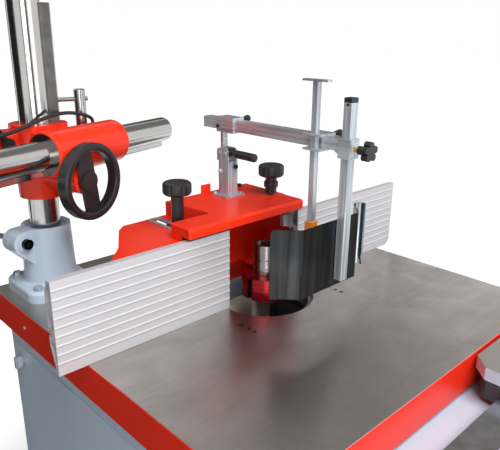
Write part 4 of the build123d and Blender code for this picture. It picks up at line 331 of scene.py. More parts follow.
gloss = add(tree, "ShaderNodeMapRange", gloss)
gloss = {0: bare.outputs[0], 2: PAINT_GLOSS, 3: gloss.outputs["Result"]}
gloss = add(tree, "ShaderNodeMix", gloss, data_type="FLOAT")
tree.links.new(gloss.outputs[0], shader.inputs["Roughness"])
shader.inputs["Specular IOR Level"].default_value = 0.3
bump = {"Height": streak.outputs["Fac"], "Strength": 0.03, "Distance": 0.0003}
bump = add(tree, "ShaderNodeBump", bump)
tree.links.new(bump.outputs[0], shader.inputs["Normal"])
dress(iron, "table")

# A screw head on each point of a mesh, along the point's aim: a prism with a crowned top and a
# socket sunk into it, over a flat washer. A head without a washer has a thin disc hidden under it.
WASHER_SIDES = 32
HIDDEN_DISC = 0.0002
HIDDEN_SHARE = 0.7
HEAD_WELD = 0.00001
HEAD_CREASE = math.radians(32.0)
HEX_BOLT = {"Sides": 6, "Crown Share": 0.88, "Socket Share": 0.62, "Socket Depth": 0.0004}
SOCKET_SCREW = {"Sides": 28, "Crown Share": 0.86, "Socket Share": 0.58, "Socket Depth": 0.0022}
PAN_SCREW = {"Sides": 28, "Crown Share": 0.62, "Socket Share": 0.45, "Socket Depth": 0.0008}

screw_tree = bpy.data.node_groups.new("screw_heads", "GeometryNodeTree")
for label, kind in (
    ("Points", "NodeSocketGeometry"),
    ("Sides", "NodeSocketInt"),
    ("Head Radius", "NodeSocketFloat"),
    ("Head Height", "NodeSocketFloat"),
    ("Crown Height", "NodeSocketFloat"),
    ("Crown Share", "NodeSocketFloat"),
    ("Socket Share", "NodeSocketFloat"),
    ("Socket Depth", "NodeSocketFloat"),
    ("Washer Radius", "NodeSocketFloat"),
    ("Washer Height", "NodeSocketFloat"),
    ("Seed", "NodeSocketInt"),
    ("Finish", "NodeSocketMaterial"),
):
    screw_tree.interface.new_socket(label, in_out="INPUT", socket_type=kind)
screw_tree.interface.new_socket("Heads", in_out="OUTPUT", socket_type="NodeSocketGeometry")
screw_inputs = {
    item.name: item.identifier for item in screw_tree.interface.items_tree if item.in_out == "INPUT"
}
tree = screw_tree
given = add(tree, "NodeGroupInput").outputs
disc = {"Vertices": given["Sides"], "Radius": given["Head Radius"]}
disc = add(tree, "GeometryNodeMeshCircle", disc, fill_type="NGON")
wall = {"Mesh": disc.outputs["Mesh"], "Offset Scale": given["Head Height"]}
wall = add(tree, "GeometryNodeExtrudeMesh", wall)
crown = {"Mesh": wall.outputs["Mesh"], "Selection": wall.outputs["Top"]}
crown = add(tree, "GeometryNodeExtrudeMesh", {**crown, "Offset Scale": given["Crown Height"]})
drawn = {"Geometry": crown.outputs["Mesh"], "Selection": crown.outputs["Top"]}
drawn = add(tree, "GeometryNodeScaleElements", {**drawn, "Scale": given["Crown Share"]})
rim = {"Mesh": drawn.outputs[0], "Selection": crown.outputs["Top"], "Offset Scale": 0.0}
rim = add(tree, "GeometryNodeExtrudeMesh", rim)
mouth = {"Geometry": rim.outputs["Mesh"], "Selection": rim.outputs["Top"]}
mouth = add(tree, "GeometryNodeScaleElements", {**mouth, "Scale": given["Socket Share"]})
sunk = add(tree, "ShaderNodeMath", {0: given["Socket Depth"], 1: -1.0}, operation="MULTIPLY")
pit = {"Mesh": mouth.outputs[0], "Selection": rim.outputs["Top"], "Offset Scale": sunk.outputs[0]}
pit = add(tree, "GeometryNodeExtrudeMesh", pit)
seat = add(tree, "GeometryNodeFlipFaces", {"Mesh": disc.outputs["Mesh"]})
head = add(tree, "GeometryNodeJoinGeometry")
tree.links.new(seat.outputs[0], head.inputs[0])
tree.links.new(pit.outputs["Mesh"], head.inputs[0])
head = add(tree, "GeometryNodeMergeByDistance", {"Geometry": head.outputs[0], "Distance": HEAD_WELD})
lift = add(tree, "ShaderNodeCombineXYZ", {"Z": given["Washer Height"]})
head = add(tree, "GeometryNodeTransform", {"Geometry": head.outputs[0], "Translation": lift.outputs[0]})
ring = {"Vertices": WASHER_SIDES, "Radius": given["Washer Radius"], "Depth": given["Washer Height"]}
ring = add(tree, "GeometryNodeMeshCylinder", ring)
half = add(tree, "ShaderNodeMath", {0: given["Washer Height"], 1: 0.5}, operation="MULTIPLY")
lift = add(tree, "ShaderNodeCombineXYZ", {"Z": half.outputs[0]})
ring = {"Geometry": ring.outputs["Mesh"], "Translation": lift.outputs[0]}
ring = add(tree, "GeometryNodeTransform", ring)
screw = add(tree, "GeometryNodeJoinGeometry")
tree.links.new(head.outputs[0], screw.inputs[0])
tree.links.new(ring.outputs[0], screw.inputs[0])
aim = add(tree, "GeometryNodeInputNamedAttribute", {"Name": "aim"}, data_type="FLOAT_VECTOR")
facing = add(tree, "FunctionNodeAlignRotationToVector", {"Vector": aim.outputs["Attribute"]}, axis="Z")
# Each head is turned by a chance angle, whose limits are the numbered sockets.
spin = {2: 0.0, 3: 2 * math.pi, "Seed": given["Seed"]}
spin = add(tree, "FunctionNodeRandomValue", spin, data_type="FLOAT")
spin = add(tree, "ShaderNodeCombineXYZ", {"Z": spin.outputs[1]})
spin = add(tree, "FunctionNodeEulerToRotation", {0: spin.outputs[0]})
facing = {"Rotation": facing.outputs[0], "Rotate By": spin.outputs[0]}
facing = add(tree, "FunctionNodeRotateRotation", facing, rotation_space="LOCAL")
heads = {"Points": given["Points"], "Instance": screw.outputs[0], "Rotation": facing.outputs[0]}
heads = add(tree, "GeometryNodeInstanceOnPoints", heads)
heads = add(tree, "GeometryNodeRealizeInstances", {"Geometry": heads.outputs[0]})
heads = {"Geometry": heads.outputs[0], "Material": given["Finish"]}
heads = add(tree, "GeometryNodeSetMaterial", heads)
add(tree, "NodeGroupOutput", {"Heads": heads.outputs[0]})


def screws(name, body, finish, spots, shape, head, washer=(0.0, 0.0)):
    """Heads of one kind on one body: each spot is (place, way it faces), each head (radius, height,
    crown) and each washer (radius, height)."""
    mesh = bpy.data.meshes.new(name)
    mesh.from_pydata([spot[0] for spot in spots], [], [])
    aims = mesh.attributes.new("aim", "FLOAT_VECTOR", "POINT")
    aims.data.foreach_set("vector", [value for spot in spots for value in spot[1]])
    made = bpy.data.objects.new(name, mesh)
    bpy.context.scene.collection.objects.link(made)
    modifier = made.modifiers.new("heads", "NODES")
    modifier.node_group = screw_tree
    sizes = dict(shape)
    sizes["Head Radius"], sizes["Head Height"], sizes["Crown Height"] = head
    sizes["Washer Radius"] = max(washer[0], head[0] * HIDDEN_SHARE)
    sizes["Washer Height"] = max(washer[1], HIDDEN_DISC)
    sizes["Seed"] = len(name)
    sizes["Finish"] = finish
    for label, value in sizes.items():
        modifier[screw_inputs[label]] = value
    posed = made.evaluated_get(bpy.context.evaluated_depsgraph_get())
    solid = bpy.data.meshes.new_from_object(posed)
    made.modifiers.clear()
    made.data = solid
    solid.shade_smooth()
    solid.set_sharp_from_angle(angle=HEAD_CREASE)
    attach(made, body)


screws("table_side_screws", "machine", zinc, SIDE_SCREWS, PAN_SCREW, SIDE_SCREW_HEAD)


# Spindle drive. A primed iron guide under the table holds a turned steel quill; motor, belt and lead
# screw sit inside the cabinet, and the raw iron height handwheel is on the cabinet's front.
CASTING_DARK = "#434547"
CASTING_GREY = "#5f6163"
CASTING_GRAIN = 3.0
STEEL_DARK = "#9c9d9f"
STEEL_BRIGHT = "#c2c3c5"
STEEL_RING = 0.9
STEEL_CLOUD = 30.0
STEEL_GLOSS = (0.18, 0.30)
WAVE_RATE = 20.0
RUBBER_DARK = "#171718"
RUBBER_BLOOM = "#2b2b2d"
RUBBER_CLOUD = 18.0
RUBBER_GRAIN = 1.5
MOTOR_DARK = "#5c636d"
MOTOR_GREY = "#6d7580"
MOTOR_CLOUD = 40.0
PRIMER = "#dedac6"
PRIMER_DEEP = "#bdb9a6"
PRIMER_CLOUD = 26.0
# The next three give the painted shade: a near-black colour and where it fades in across the guide.
SHADE_BLACK = "#1d1d1e"
SHADE_FROM = (0.020, 0.045)
SHADE_SIDE = (0.90, -0.45, 0.0)

# Casting primer: flat cream on the arbor's left; on its right it is coloured near black as painted
# shade, standing in for a dark opening there.
primer, tree, shader, place = surface("casting_primer")
cloud = add(tree, "ShaderNodeTexNoise", {"Vector": place, "Scale": per_mm(PRIMER_CLOUD), "Detail": 3.0})
shade = {0: cloud.outputs["Fac"], 6: linear(PRIMER_DEEP), 7: linear(PRIMER)}
shade = add(tree, "ShaderNodeMix", shade, data_type="RGBA")
# Painted shade: the guide turns near black towards its right side.
rightward = add(tree, "ShaderNodeVectorMath", {0: place, 1: SHADE_SIDE}, operation="DOT_PRODUCT")
shaded_right = {"Value": rightward.outputs["Value"], "From Min": SHADE_FROM[0], "From Max": SHADE_FROM[1]}
shaded_right = add(tree, "ShaderNodeMapRange", shaded_right)
shade = {0: shaded_right.outputs["Result"], 6: shade.outputs[2], 7: linear(SHADE_BLACK)}
shade = add(tree, "ShaderNodeMix", shade, data_type="RGBA")
tree.links.new(shade.outputs[2], shader.inputs["Base Color"])
shader.inputs["Roughness"].default_value = 0.55
sand = add(tree, "ShaderNodeTexNoise", {"Vector": place, "Scale": per_mm(CASTING_GRAIN), "Detail": 3.0})
bump = {"Height": sand.outputs["Fac"], "Strength": 0.25, "Distance": 0.0006}
bump = add(tree, "ShaderNodeBump", bump)
tree.links.new(bump.outputs[0], shader.inputs["Normal"])
dress(primer, "spindle_guide")

# Raw grey iron: dull, with the open grain of the sand mould, drawn coarse enough to show.
casting, tree, shader, place = surface("raw_casting")
sand = add(tree, "ShaderNodeTexNoise", {"Vector": place, "Scale": per_mm(CASTING_GRAIN), "Detail": 4.0})
shade = {0: sand.outputs["Fac"], 6: linear(CASTING_DARK), 7: linear(CASTING_GREY)}
shade = add(tree, "ShaderNodeMix", shade, data_type="RGBA")
tree.links.new(shade.outputs[2], shader.inputs["Base Color"])
shader.inputs["Metallic"].default_value = 0.6
shader.inputs["Roughness"].default_value = 0.62
bump = add(tree, "ShaderNodeBump", {"Height": sand.outputs["Fac"], "Strength": 0.3, "Distance": 0.0006})
tree.links.new(bump.outputs[0], shader.inputs["Normal"])
dress(casting, "motor_bracket", "motor_pulley", "spindle_pulley", "height_handwheel")

# Turned steel: bright, with the fine rings that the tool leaves. A wave runs through 20 radians for
# each unit of scale, so rings of this size are drawn about six times as wide, which lets them show.
steel, tree, shader, place = surface("turned_steel")
rings = {"Vector": place, "Scale": per_mm(STEEL_RING) / WAVE_RATE, "Distortion": 0.4, "Detail": 1.0}
rings = add(tree, "ShaderNodeTexWave", rings, bands_direction="Z")
cloud = add(tree, "ShaderNodeTexNoise", {"Vector": place, "Scale": per_mm(STEEL_CLOUD), "Detail": 2.0})
shade = {0: cloud.outputs["Fac"], 6: linear(STEEL_DARK), 7: linear(STEEL_BRIGHT)}
shade = add(tree, "ShaderNodeMix", shade, data_type="RGBA")
tree.links.new(shade.outputs[2], shader.inputs["Base Color"])
shader.inputs["Metallic"].default_value = 1.0
gloss = {"Value": cloud.outputs["Fac"], "To Min": STEEL_GLOSS[0], "To Max": STEEL_GLOSS[1]}
gloss = add(tree, "ShaderNodeMapRange", gloss)
tree.links.new(gloss.outputs["Result"], shader.inputs["Roughness"])
bump = {"Height": rings.outputs["Fac"], "Strength": 0.06, "Distance": 0.0002}
bump = add(tree, "ShaderNodeBump", bump)
tree.links.new(bump.outputs[0], shader.inputs["Normal"])
dress(steel, "quill", "spindle_shaft", "height_screw")

# Extruded rubber, of the belt here and the feeder lead later: matt, almost black, with a faint
# powdery bloom and a grain that is drawn coarse enough to show.
rubber, tree, shader, place = surface("extruded_rubber")
bloom = {"Vector": place, "Scale": per_mm(RUBBER_CLOUD), "Detail": 3.0}
bloom = add(tree, "ShaderNodeTexNoise", bloom)
shade = {0: bloom.outputs["Fac"], 6: linear(RUBBER_DARK), 7: linear(RUBBER_BLOOM)}
shade = add(tree, "ShaderNodeMix", shade, data_type="RGBA")
tree.links.new(shade.outputs[2], shader.inputs["Base Color"])
shader.inputs["Roughness"].default_value = 0.55
grain = add(tree, "ShaderNodeTexNoise", {"Vector": place, "Scale": per_mm(RUBBER_GRAIN)})
bump = {"Height": grain.outputs["Fac"], "Strength": 0.15, "Distance": 0.0003}
bump = add(tree, "ShaderNodeBump", bump)
tree.links.new(bump.outputs[0], shader.inputs["Normal"])
dress(rubber, "drive_belt")

# Motor enamel: dark grey over ribbed castings, half matt.
motor_enamel, tree, shader, place = surface("motor_enamel")
cloud = add(tree, "ShaderNodeTexNoise", {"Vector": place, "Scale": per_mm(MOTOR_CLOUD), "Detail": 3.0})
shade = {0: cloud.outputs["Fac"], 6: linear(MOTOR_DARK), 7: linear(MOTOR_GREY)}
shade = add(tree, "ShaderNodeMix", shade, data_type="RGBA")
tree.links.new(shade.outputs[2], shader.inputs["Base Color"])
shader.inputs["Roughness"].default_value = 0.5
dress(motor_enamel, "motor")


# Cutter. A red anodised aluminium head with blackened knives and wedges on the arbor, under a stack
# of turned spacer rings that a screw in the arbor's end clamps down.
HEAD_RED = "#c0162c"
HEAD_DEEP = "#a81025"
HEAD_RING = 1.6
OXIDE_DARK = "#222224"
OXIDE_RUBBED = "#3a3a3e"
OXIDE_CLOUD = 14.0

# Red anodised aluminium: a clear dyed skin on turned metal, so the rings of the lathe show through,
# drawn about six times as wide as they are.
anodised_red, tree, shader, place = surface("red_anodised_aluminium")
rings = {"Vector": place, "Scale": per_mm(HEAD_RING) / WAVE_RATE, "Distortion": 0.2}
rings = add(tree, "ShaderNodeTexWave", rings, bands_direction="Z")
shade = {0: rings.outputs["Fac"], 6: linear(HEAD_DEEP), 7: linear(HEAD_RED)}
shade = add(tree, "ShaderNodeMix", shade, data_type="RGBA")
tree.links.new(shade.outputs[2], shader.inputs["Base Color"])
shader.inputs["Metallic"].default_value = 0.8
shader.inputs["Roughness"].default_value = 0.26
shader.inputs["Coat Weight"].default_value = 0.4
bump = {"Height": rings.outputs["Fac"], "Strength": 0.03, "Distance": 0.0002}
bump = add(tree, "ShaderNodeBump", bump)
tree.links.new(bump.outputs[0], shader.inputs["Normal"])
dress(anodised_red, "cutter_head")
dress(steel, "spacer_rings", "spindle_screw")

# Blackened steel: oxide black with a low sheen and lighter rubbed patches.
oxide, tree, shader, place = surface("blackened_steel")
rub = add(tree, "ShaderNodeTexNoise", {"Vector": place, "Scale": per_mm(OXIDE_CLOUD), "Detail": 2.0})
shade = {0: rub.outputs["Fac"], 6: linear(OXIDE_DARK), 7: linear(OXIDE_RUBBED)}
shade = add(tree, "ShaderNodeMix", shade, data_type="RGBA")
tree.links.new(shade.outputs[2], shader.inputs["Base Color"])
shader.inputs["Metallic"].default_value = 0.9
shader.inputs["Roughness"].default_value = 0.36
dress(oxide, "cutter_knives")


# Switch box. A moulded black case on the cabinet's front with a green start and a red stop button,
# its lid held by four corner screws.
MOULDING_DARK = "#161617"
MOULDING_LIGHT = "#242426"
MOULDING_CLOUD = 30.0
MOULDING_GRAIN = 1.0
DYED = {"start_button": ("green_moulding", "#2f9a4a"), "stop_button": ("red_moulding", "#cf2020")}
DYED_FLOW = 14.0
DYED_DEEP = 0.88
LID_PLACE = (-0.290, -0.455, TABLE_TOP - 0.270)
LID_CORNER = (0.035, 0.069)
LID_SCREWS = [
    ((LID_PLACE[0] + sx * LID_CORNER[0], LID_PLACE[1], LID_PLACE[2] + sz * LID_CORNER[1]), (0, -1, 0))
    for sx in (-1, 1) for sz in (-1, 1)
]
LID_SCREW_HEAD = (0.0034, 0.0008, 0.0011)

# Moulded ABS: satin black with a fine spark-eroded grain, drawn coarse enough to show.
moulding, tree, shader, place = surface("black_moulding")
cloud = {"Vector": place, "Scale": per_mm(MOULDING_CLOUD), "Detail": 2.0}
cloud = add(tree, "ShaderNodeTexNoise", cloud)
shade = {0: cloud.outputs["Fac"], 6: linear(MOULDING_DARK), 7: linear(MOULDING_LIGHT)}
shade = add(tree, "ShaderNodeMix", shade, data_type="RGBA")
tree.links.new(shade.outputs[2], shader.inputs["Base Color"])
shader.inputs["Roughness"].default_value = 0.36
grain = {"Vector": place, "Scale": per_mm(MOULDING_GRAIN), "Detail": 2.0}
grain = add(tree, "ShaderNodeTexNoise", grain)
bump = {"Height": grain.outputs["Fac"], "Strength": 0.1, "Distance": 0.0003}
bump = add(tree, "ShaderNodeBump", bump)
tree.links.new(bump.outputs[0], shader.inputs["Normal"])
dress(moulding, "switch_box")


def dyed_moulding(name, colour):
    """Dyed ABS with a light gloss and the faint flow marks of moulding."""
    made, tree, shader, place = surface(name)
    flow = add(tree, "ShaderNodeTexNoise", {"Vector": place, "Scale": per_mm(DYED_FLOW), "Detail": 3.0})
    tint = add(tree, "ShaderNodeHueSaturation", {"Color": linear(colour), "Value": DYED_DEEP})
    shade = {0: flow.outputs["Fac"], 6: tint.outputs[0], 7: linear(colour)}
    shade = add(tree, "ShaderNodeMix", shade, data_type="RGBA")
    tree.links.new(shade.outputs[2], shader.inputs["Base Color"])
    shader.inputs["Roughness"].default_value = 0.35
    return made


for node, (name, colour) in DYED.items():
    dress(dyed_moulding(name, colour), node)
screws("switch_lid_screws", "machine", zinc, LID_SCREWS, PAN_SCREW, LID_SCREW_HEAD)


# Sliding table. An aluminium plate with one T-slot, milled bright along its edges, bolted to a dark
# carriage that runs on a turned steel rail along the enamelled front beam.
DECK_LIGHT = "#a59d98"
DECK_DARK = "#918984"
DECK_LINE = (160.0, 2.4, 2.4)
# Milled edge colour: pale metal, with a bluish tint that is a painted reflection.
EDGE_MILLED_AND_REFLECTED = "#c8d6e4"
CARRIAGE_COLOUR = "#4a4b4e"
DECK_SKIN = 0.0006
DECK_THICK = 0.0262
DECK_SHEEN = (0.55, 0.20)
DECK_GLOSS = (0.34, 0.46)

# Brushed aluminium on top, its lines drawn wide enough to show, and milled pale at the edges, where the
# bluish tint is a painted reflection; the carriage under it is coloured dark grey.
deck, tree, shader, place = surface("brushed_aluminium")
brush = add(tree, "ShaderNodeMapping", {"Vector": place, "Scale": [per_mm(s) for s in DECK_LINE]})
brush = {"Vector": brush.outputs[0], "Scale": 1.0, "Detail": 3.0, "Roughness": 0.6}
brush = add(tree, "ShaderNodeTexNoise", brush)
shade = {0: brush.outputs["Fac"], 6: linear(DECK_DARK), 7: linear(DECK_LIGHT)}
shade = add(tree, "ShaderNodeMix", shade, data_type="RGBA")
height = add(tree, "ShaderNodeSeparateXYZ", {0: place}).outputs["Z"]
side = add(tree, "ShaderNodeMath", {0: height, 1: TABLE_TOP - DECK_SKIN}, operation="LESS_THAN")
# The sides are pale milled metal, their bluish tint a painted reflection.
shade = {0: side.outputs[0], 6: shade.outputs[2], 7: linear(EDGE_MILLED_AND_REFLECTED)}
shade = add(tree, "ShaderNodeMix", shade, data_type="RGBA")
under = add(tree, "ShaderNodeMath", {0: height, 1: TABLE_TOP - DECK_THICK}, operation="LESS_THAN")
shade = {0: under.outputs[0], 6: shade.outputs[2], 7: linear(CARRIAGE_COLOUR)}
shade = add(tree, "ShaderNodeMix", shade, data_type="RGBA")
tree.links.new(shade.outputs[2], shader.inputs["Base Color"])
sheen = {"Value": side.outputs[0], "To Min": DECK_SHEEN[0], "To Max": DECK_SHEEN[1]}
sheen = add(tree, "ShaderNodeMapRange", sheen)
tree.links.new(sheen.outputs["Result"], shader.inputs["Metallic"])
gloss = {"Value": brush.outputs["Fac"], "To Min": DECK_GLOSS[0], "To Max": DECK_GLOSS[1]}
gloss = add(tree, "ShaderNodeMapRange", gloss)
tree.links.new(gloss.outputs["Result"], shader.inputs["Roughness"])
bump = {"Height": brush.outputs["Fac"], "Strength": 0.04, "Distance": 0.0003}
bump = add(tree, "ShaderNodeBump", bump)
tree.links.new(bump.outputs[0], shader.inputs["Normal"])
dress(deck, "sliding_table")
dress(steel, "slide_rail")
dress(enamel, "slide_support")


# Fence boards. Hollow beaded extrusions in natural anodised aluminium, T-slotted behind and clamped to
# cast carriers that slide under the hood.
ANODISED_PALE = "#dad9dc"
ANODISED_DEEP = "#cecdd1"
DIE_LINE = (220.0, 2.0, 1.4)
DIE_GLOSS = (0.44, 0.54)
MILLED_PALE = "#c3c5c7"
MILLED_DEEP = "#a9abad"
MILLED_MARK = 5.0

# Natural anodised extrusion: satin, pale, with die lines along its length, drawn wide enough to show.
anodised, tree, shader, place = surface("anodised_extrusion")
die = add(tree, "ShaderNodeMapping", {"Vector": place, "Scale": [per_mm(s) for s in DIE_LINE]})
die = {"Vector": die.outputs[0], "Scale": 1.0, "Detail": 3.0, "Roughness": 0.6}
die = add(tree, "ShaderNodeTexNoise", die)
shade = {0: die.outputs["Fac"], 6: linear(ANODISED_DEEP), 7: linear(ANODISED_PALE)}
shade = add(tree, "ShaderNodeMix", shade, data_type="RGBA")
tree.links.new(shade.outputs[2], shader.inputs["Base Color"])
shader.inputs["Metallic"].default_value = 0.45
gloss = {"Value": die.outputs["Fac"], "To Min": DIE_GLOSS[0], "To Max": DIE_GLOSS[1]}
gloss = add(tree, "ShaderNodeMapRange", gloss)
tree.links.new(gloss.outputs["Result"], shader.inputs["Roughness"])
bump = add(tree, "ShaderNodeBump", {"Height": die.outputs["Fac"], "Strength": 0.05, "Distance": 0.0003})
tree.links.new(bump.outputs[0], shader.inputs["Normal"])
dress(anodised, "board_left", "board_right")

# Milled aluminium casting: dull silver, with the speckle that the cutter leaves, drawn coarse
# enough to show.
milled, tree, shader, place = surface("milled_aluminium")
mark = add(tree, "ShaderNodeTexNoise", {"Vector": place, "Scale": per_mm(MILLED_MARK), "Detail": 3.0})
shade = {0: mark.outputs["Fac"], 6: linear(MILLED_DEEP), 7: linear(MILLED_PALE)}
shade = add(tree, "ShaderNodeMix", shade, data_type="RGBA")
tree.links.new(shade.outputs[2], shader.inputs["Base Color"])
shader.inputs["Metallic"].default_value = 0.7
shader.inputs["Roughness"].default_value = 0.48
bump = {"Height": mark.outputs["Fac"], "Strength": 0.15, "Distance": 0.0004}
bump = add(tree, "ShaderNodeBump", bump)
tree.links.new(bump.outputs[0], shader.inputs["Normal"])
dress(milled, "carrier_left", "carrier_right")


# Hood. Folded and welded 3 mm sheet over the cutter with an extraction spout behind, powder-coated
# red; two black knobs clamp the carriers, the left one through a plated slot.
POWDER_RED = "#f2381d"
POWDER_DEEP = "#ea3017"
POWDER_CLOUD = 90.0
POWDER_PEEL = 1.4
HOOD_BOLTS = [((0.086, 0.182, TABLE_TOP + 0.207), (0, 0, 1))]
HOOD_BOLT_HEAD = (0.0055, 0.0060, 0.0008)

# Powder coat on sheet: glossy and even, with a fine orange peel that breaks up the highlights.
powder, tree, shader, place = surface("red_powder_coat")
cloud = add(tree, "ShaderNodeTexNoise", {"Vector": place, "Scale": per_mm(POWDER_CLOUD), "Detail": 2.0})
shade = {0: cloud.outputs["Fac"], 6: linear(POWDER_DEEP), 7: linear(POWDER_RED)}
shade = add(tree, "ShaderNodeMix", shade, data_type="RGBA")
tree.links.new(shade.outputs[2], shader.inputs["Base Color"])
shader.inputs["Roughness"].default_value = 0.27
shader.inputs["Specular IOR Level"].default_value = 0.3
peel = add(tree, "ShaderNodeTexNoise", {"Vector": place, "Scale": per_mm(POWDER_PEEL), "Detail": 1.0})
bump = add(tree, "ShaderNodeBump", {"Height": peel.outputs["Fac"], "Strength": 0.1, "Distance": 0.0003})
tree.links.new(bump.outputs[0], shader.inputs["Normal"])
dress(powder, "hood", "extraction_spout")
dress(zinc, "slot_plate")
dress(moulding, "knob_left", "knob_right")
screws("hood_bolts", "fence", oxide, HOOD_BOLTS, SOCKET_SCREW, HOOD_BOLT_HEAD)


# Hold-down and guard. Zinc-plated tube, bar and brackets on a toggle upright carry a dark sheet-steel
# guard in front of the cutter and an orange-footed hold-down bar; levers and knobs are moulded.
UPRIGHT_FOOT_TOP = TABLE_TOP + 0.211
UPRIGHT_FEET = [
    ((x, y, UPRIGHT_FOOT_TOP), (0, 0, 1)) for x in (-0.0080, 0.0360) for y in (0.1222, 0.1648)
]
UPRIGHT_FOOT_HEAD = (0.0044, 0.0026, 0.0005)
UPRIGHT_PIN = [((-0.0010, 0.1530, TABLE_TOP + 0.265), (-1, 0, 0))]
UPRIGHT_PIN_HEAD = (0.0058, 0.0020, 0.0030)
UPRIGHT_STOP = [((0.0210, 0.1270, TABLE_TOP + 0.277), (0, -1, 0))]
UPRIGHT_STOP_HEAD = (0.0050, 0.0055, 0.0006)
CARRIER_SCREW = [((-0.0033, 0.1580, TABLE_TOP + 0.371), (-1, 0, 0))]
CARRIER_SCREW_HEAD = (0.0038, 0.0022, 0.0005)
POST_SCREW = [((0.0040, -0.2014, TABLE_TOP + 0.451), (-1, 0, 0))]
POST_SCREW_HEAD = (0.0028, 0.0006, 0.0008)
ARM_DRAW = (6.0, 160.0, 6.0)
# The sheet's two tones are painted reflection: a dark ground for the dark surroundings it mirrors, with
# lighter upright streaks.
GUARD_REFLECTED_DARK = "#26282a"
GUARD_REFLECTED_LIGHT = "#494b4d"
GUARD_ROLL = (14.0, 14.0, 300.0)
GUARD_STREAK_BANDS = (0.3, 0.7)
GUARD_GLOSS = (0.10, 0.22)
GUARD_WAVE = (48.0, 48.0, 420.0)
# Painted highlight on the curl: its pale colour and the span across which it fades in.
GUARD_CURL_HIGHLIGHT = "#c3ccd4"
GUARD_HIGHLIGHT_SPAN = (0.126, 0.132)
PAD_ORANGE = "#f58a1e"
BRASS = "#c99a4b"
STUD_END = -0.2262

dress(zinc, "toggle_upright", "hold_down_bar", "guard_post")
dress(drawn_zinc("bright_zinc_level", ARM_DRAW), "arm_carrier", "guard_arm", "bar_bracket")
dress(moulding, "toggle_handle", "arm_lever", "bar_lever", "post_cap")
dress(dyed_moulding("orange_moulding", PAD_ORANGE), "hold_down_pad")
screws("upright_foot_screws", "fence", zinc, UPRIGHT_FEET, HEX_BOLT, UPRIGHT_FOOT_HEAD)
screws("upright_pin", "fence", zinc, UPRIGHT_PIN, PAN_SCREW, UPRIGHT_PIN_HEAD)
screws("upright_stop", "fence", oxide, UPRIGHT_STOP, SOCKET_SCREW, UPRIGHT_STOP_HEAD)
screws(
    "sleeve_screw", "arm_carrier", oxide, CARRIER_SCREW,
    SOCKET_SCREW, CARRIER_SCREW_HEAD,
)
screws("post_screw", "guard", oxide, POST_SCREW, PAN_SCREW, POST_SCREW_HEAD)

# Cold-rolled sheet, oiled: dark and mirror-like, its dark tone a painted reflection of dark
# surroundings, with rolling marks, drawn broad enough to show, that pull the reflections upright and are
# coloured as upright light and dark streaks of painted reflection; the right half of the curl along the
# right edge is painted pale as a painted highlight.
rolled, tree, shader, place = surface("rolled_sheet_steel")
roll = add(tree, "ShaderNodeMapping", {"Vector": place, "Scale": [per_mm(s) for s in GUARD_ROLL]})
roll = add(tree, "ShaderNodeTexNoise", {"Vector": roll.outputs[0], "Scale": 1.0, "Detail": 3.0})
# Upright light and dark streaks of painted reflection, laid over the dark ground.
reflection_streak = {"Value": roll.outputs["Fac"], "From Min": GUARD_STREAK_BANDS[0], "From Max": GUARD_STREAK_BANDS[1]}
reflection_streak = add(tree, "ShaderNodeMapRange", reflection_streak)
shade = {0: reflection_streak.outputs["Result"], 6: linear(GUARD_REFLECTED_DARK), 7: linear(GUARD_REFLECTED_LIGHT)}
shade = add(tree, "ShaderNodeMix", shade, data_type="RGBA")
# The right half of the curl is painted pale as a painted highlight.
across = add(tree, "ShaderNodeSeparateXYZ", {0: place}).outputs["X"]
curl_highlight = {"Value": across, "From Min": GUARD_HIGHLIGHT_SPAN[0], "From Max": GUARD_HIGHLIGHT_SPAN[1]}
curl_highlight = add(tree, "ShaderNodeMapRange", curl_highlight)
shade = {0: curl_highlight.outputs["Result"], 6: shade.outputs[2], 7: linear(GUARD_CURL_HIGHLIGHT)}
shade = add(tree, "ShaderNodeMix", shade, data_type="RGBA")
tree.links.new(shade.outputs[2], shader.inputs["Base Color"])
shader.inputs["Metallic"].default_value = 1.0
gloss = {"Value": roll.outputs["Fac"], "To Min": GUARD_GLOSS[0], "To Max": GUARD_GLOSS[1]}
gloss = add(tree, "ShaderNodeMapRange", gloss)
tree.links.new(gloss.outputs["Result"], shader.inputs["Roughness"])
wave = add(tree, "ShaderNodeMapping", {"Vector": place, "Scale": [per_mm(s) for s in GUARD_WAVE]})
wave = add(tree, "ShaderNodeTexNoise", {"Vector": wave.outputs[0], "Scale": 1.0, "Detail": 1.0})
bump = add(tree, "ShaderNodeBump", {"Height": wave.outputs["Fac"], "Strength": 0.3, "Distance": 0.004})
tree.links.new(bump.outputs[0], shader.inputs["Normal"])
dress(rolled, "guard_plate")

# Star knob: the black moulding round a brass stud, which shows between knob and sleeve.
star, tree, shader, place = surface("moulding_on_brass")
depth = add(tree, "ShaderNodeSeparateXYZ", {0: place}).outputs["Y"]
stud = add(tree, "ShaderNodeMath", {0: depth, 1: STUD_END}, operation="GREATER_THAN")
cloud = {"Vector": place, "Scale": per_mm(MOULDING_CLOUD), "Detail": 2.0}
cloud = add(tree, "ShaderNodeTexNoise", cloud)
shade = {0: cloud.outputs["Fac"], 6: linear(MOULDING_DARK), 7: linear(MOULDING_LIGHT)}
shade = add(tree, "ShaderNodeMix", shade, data_type="RGBA")
shade = {0: stud.outputs[0], 6: shade.outputs[2], 7: linear(BRASS)}
shade = add(tree, "ShaderNodeMix", shade, data_type="RGBA")
tree.links.new(shade.outputs[2], shader.inputs["Base Color"])
tree.links.new(stud.outputs[0], shader.inputs["Metallic"])
shader.inputs["Roughness"].default_value = 0.34
dress(star, "star_knob")


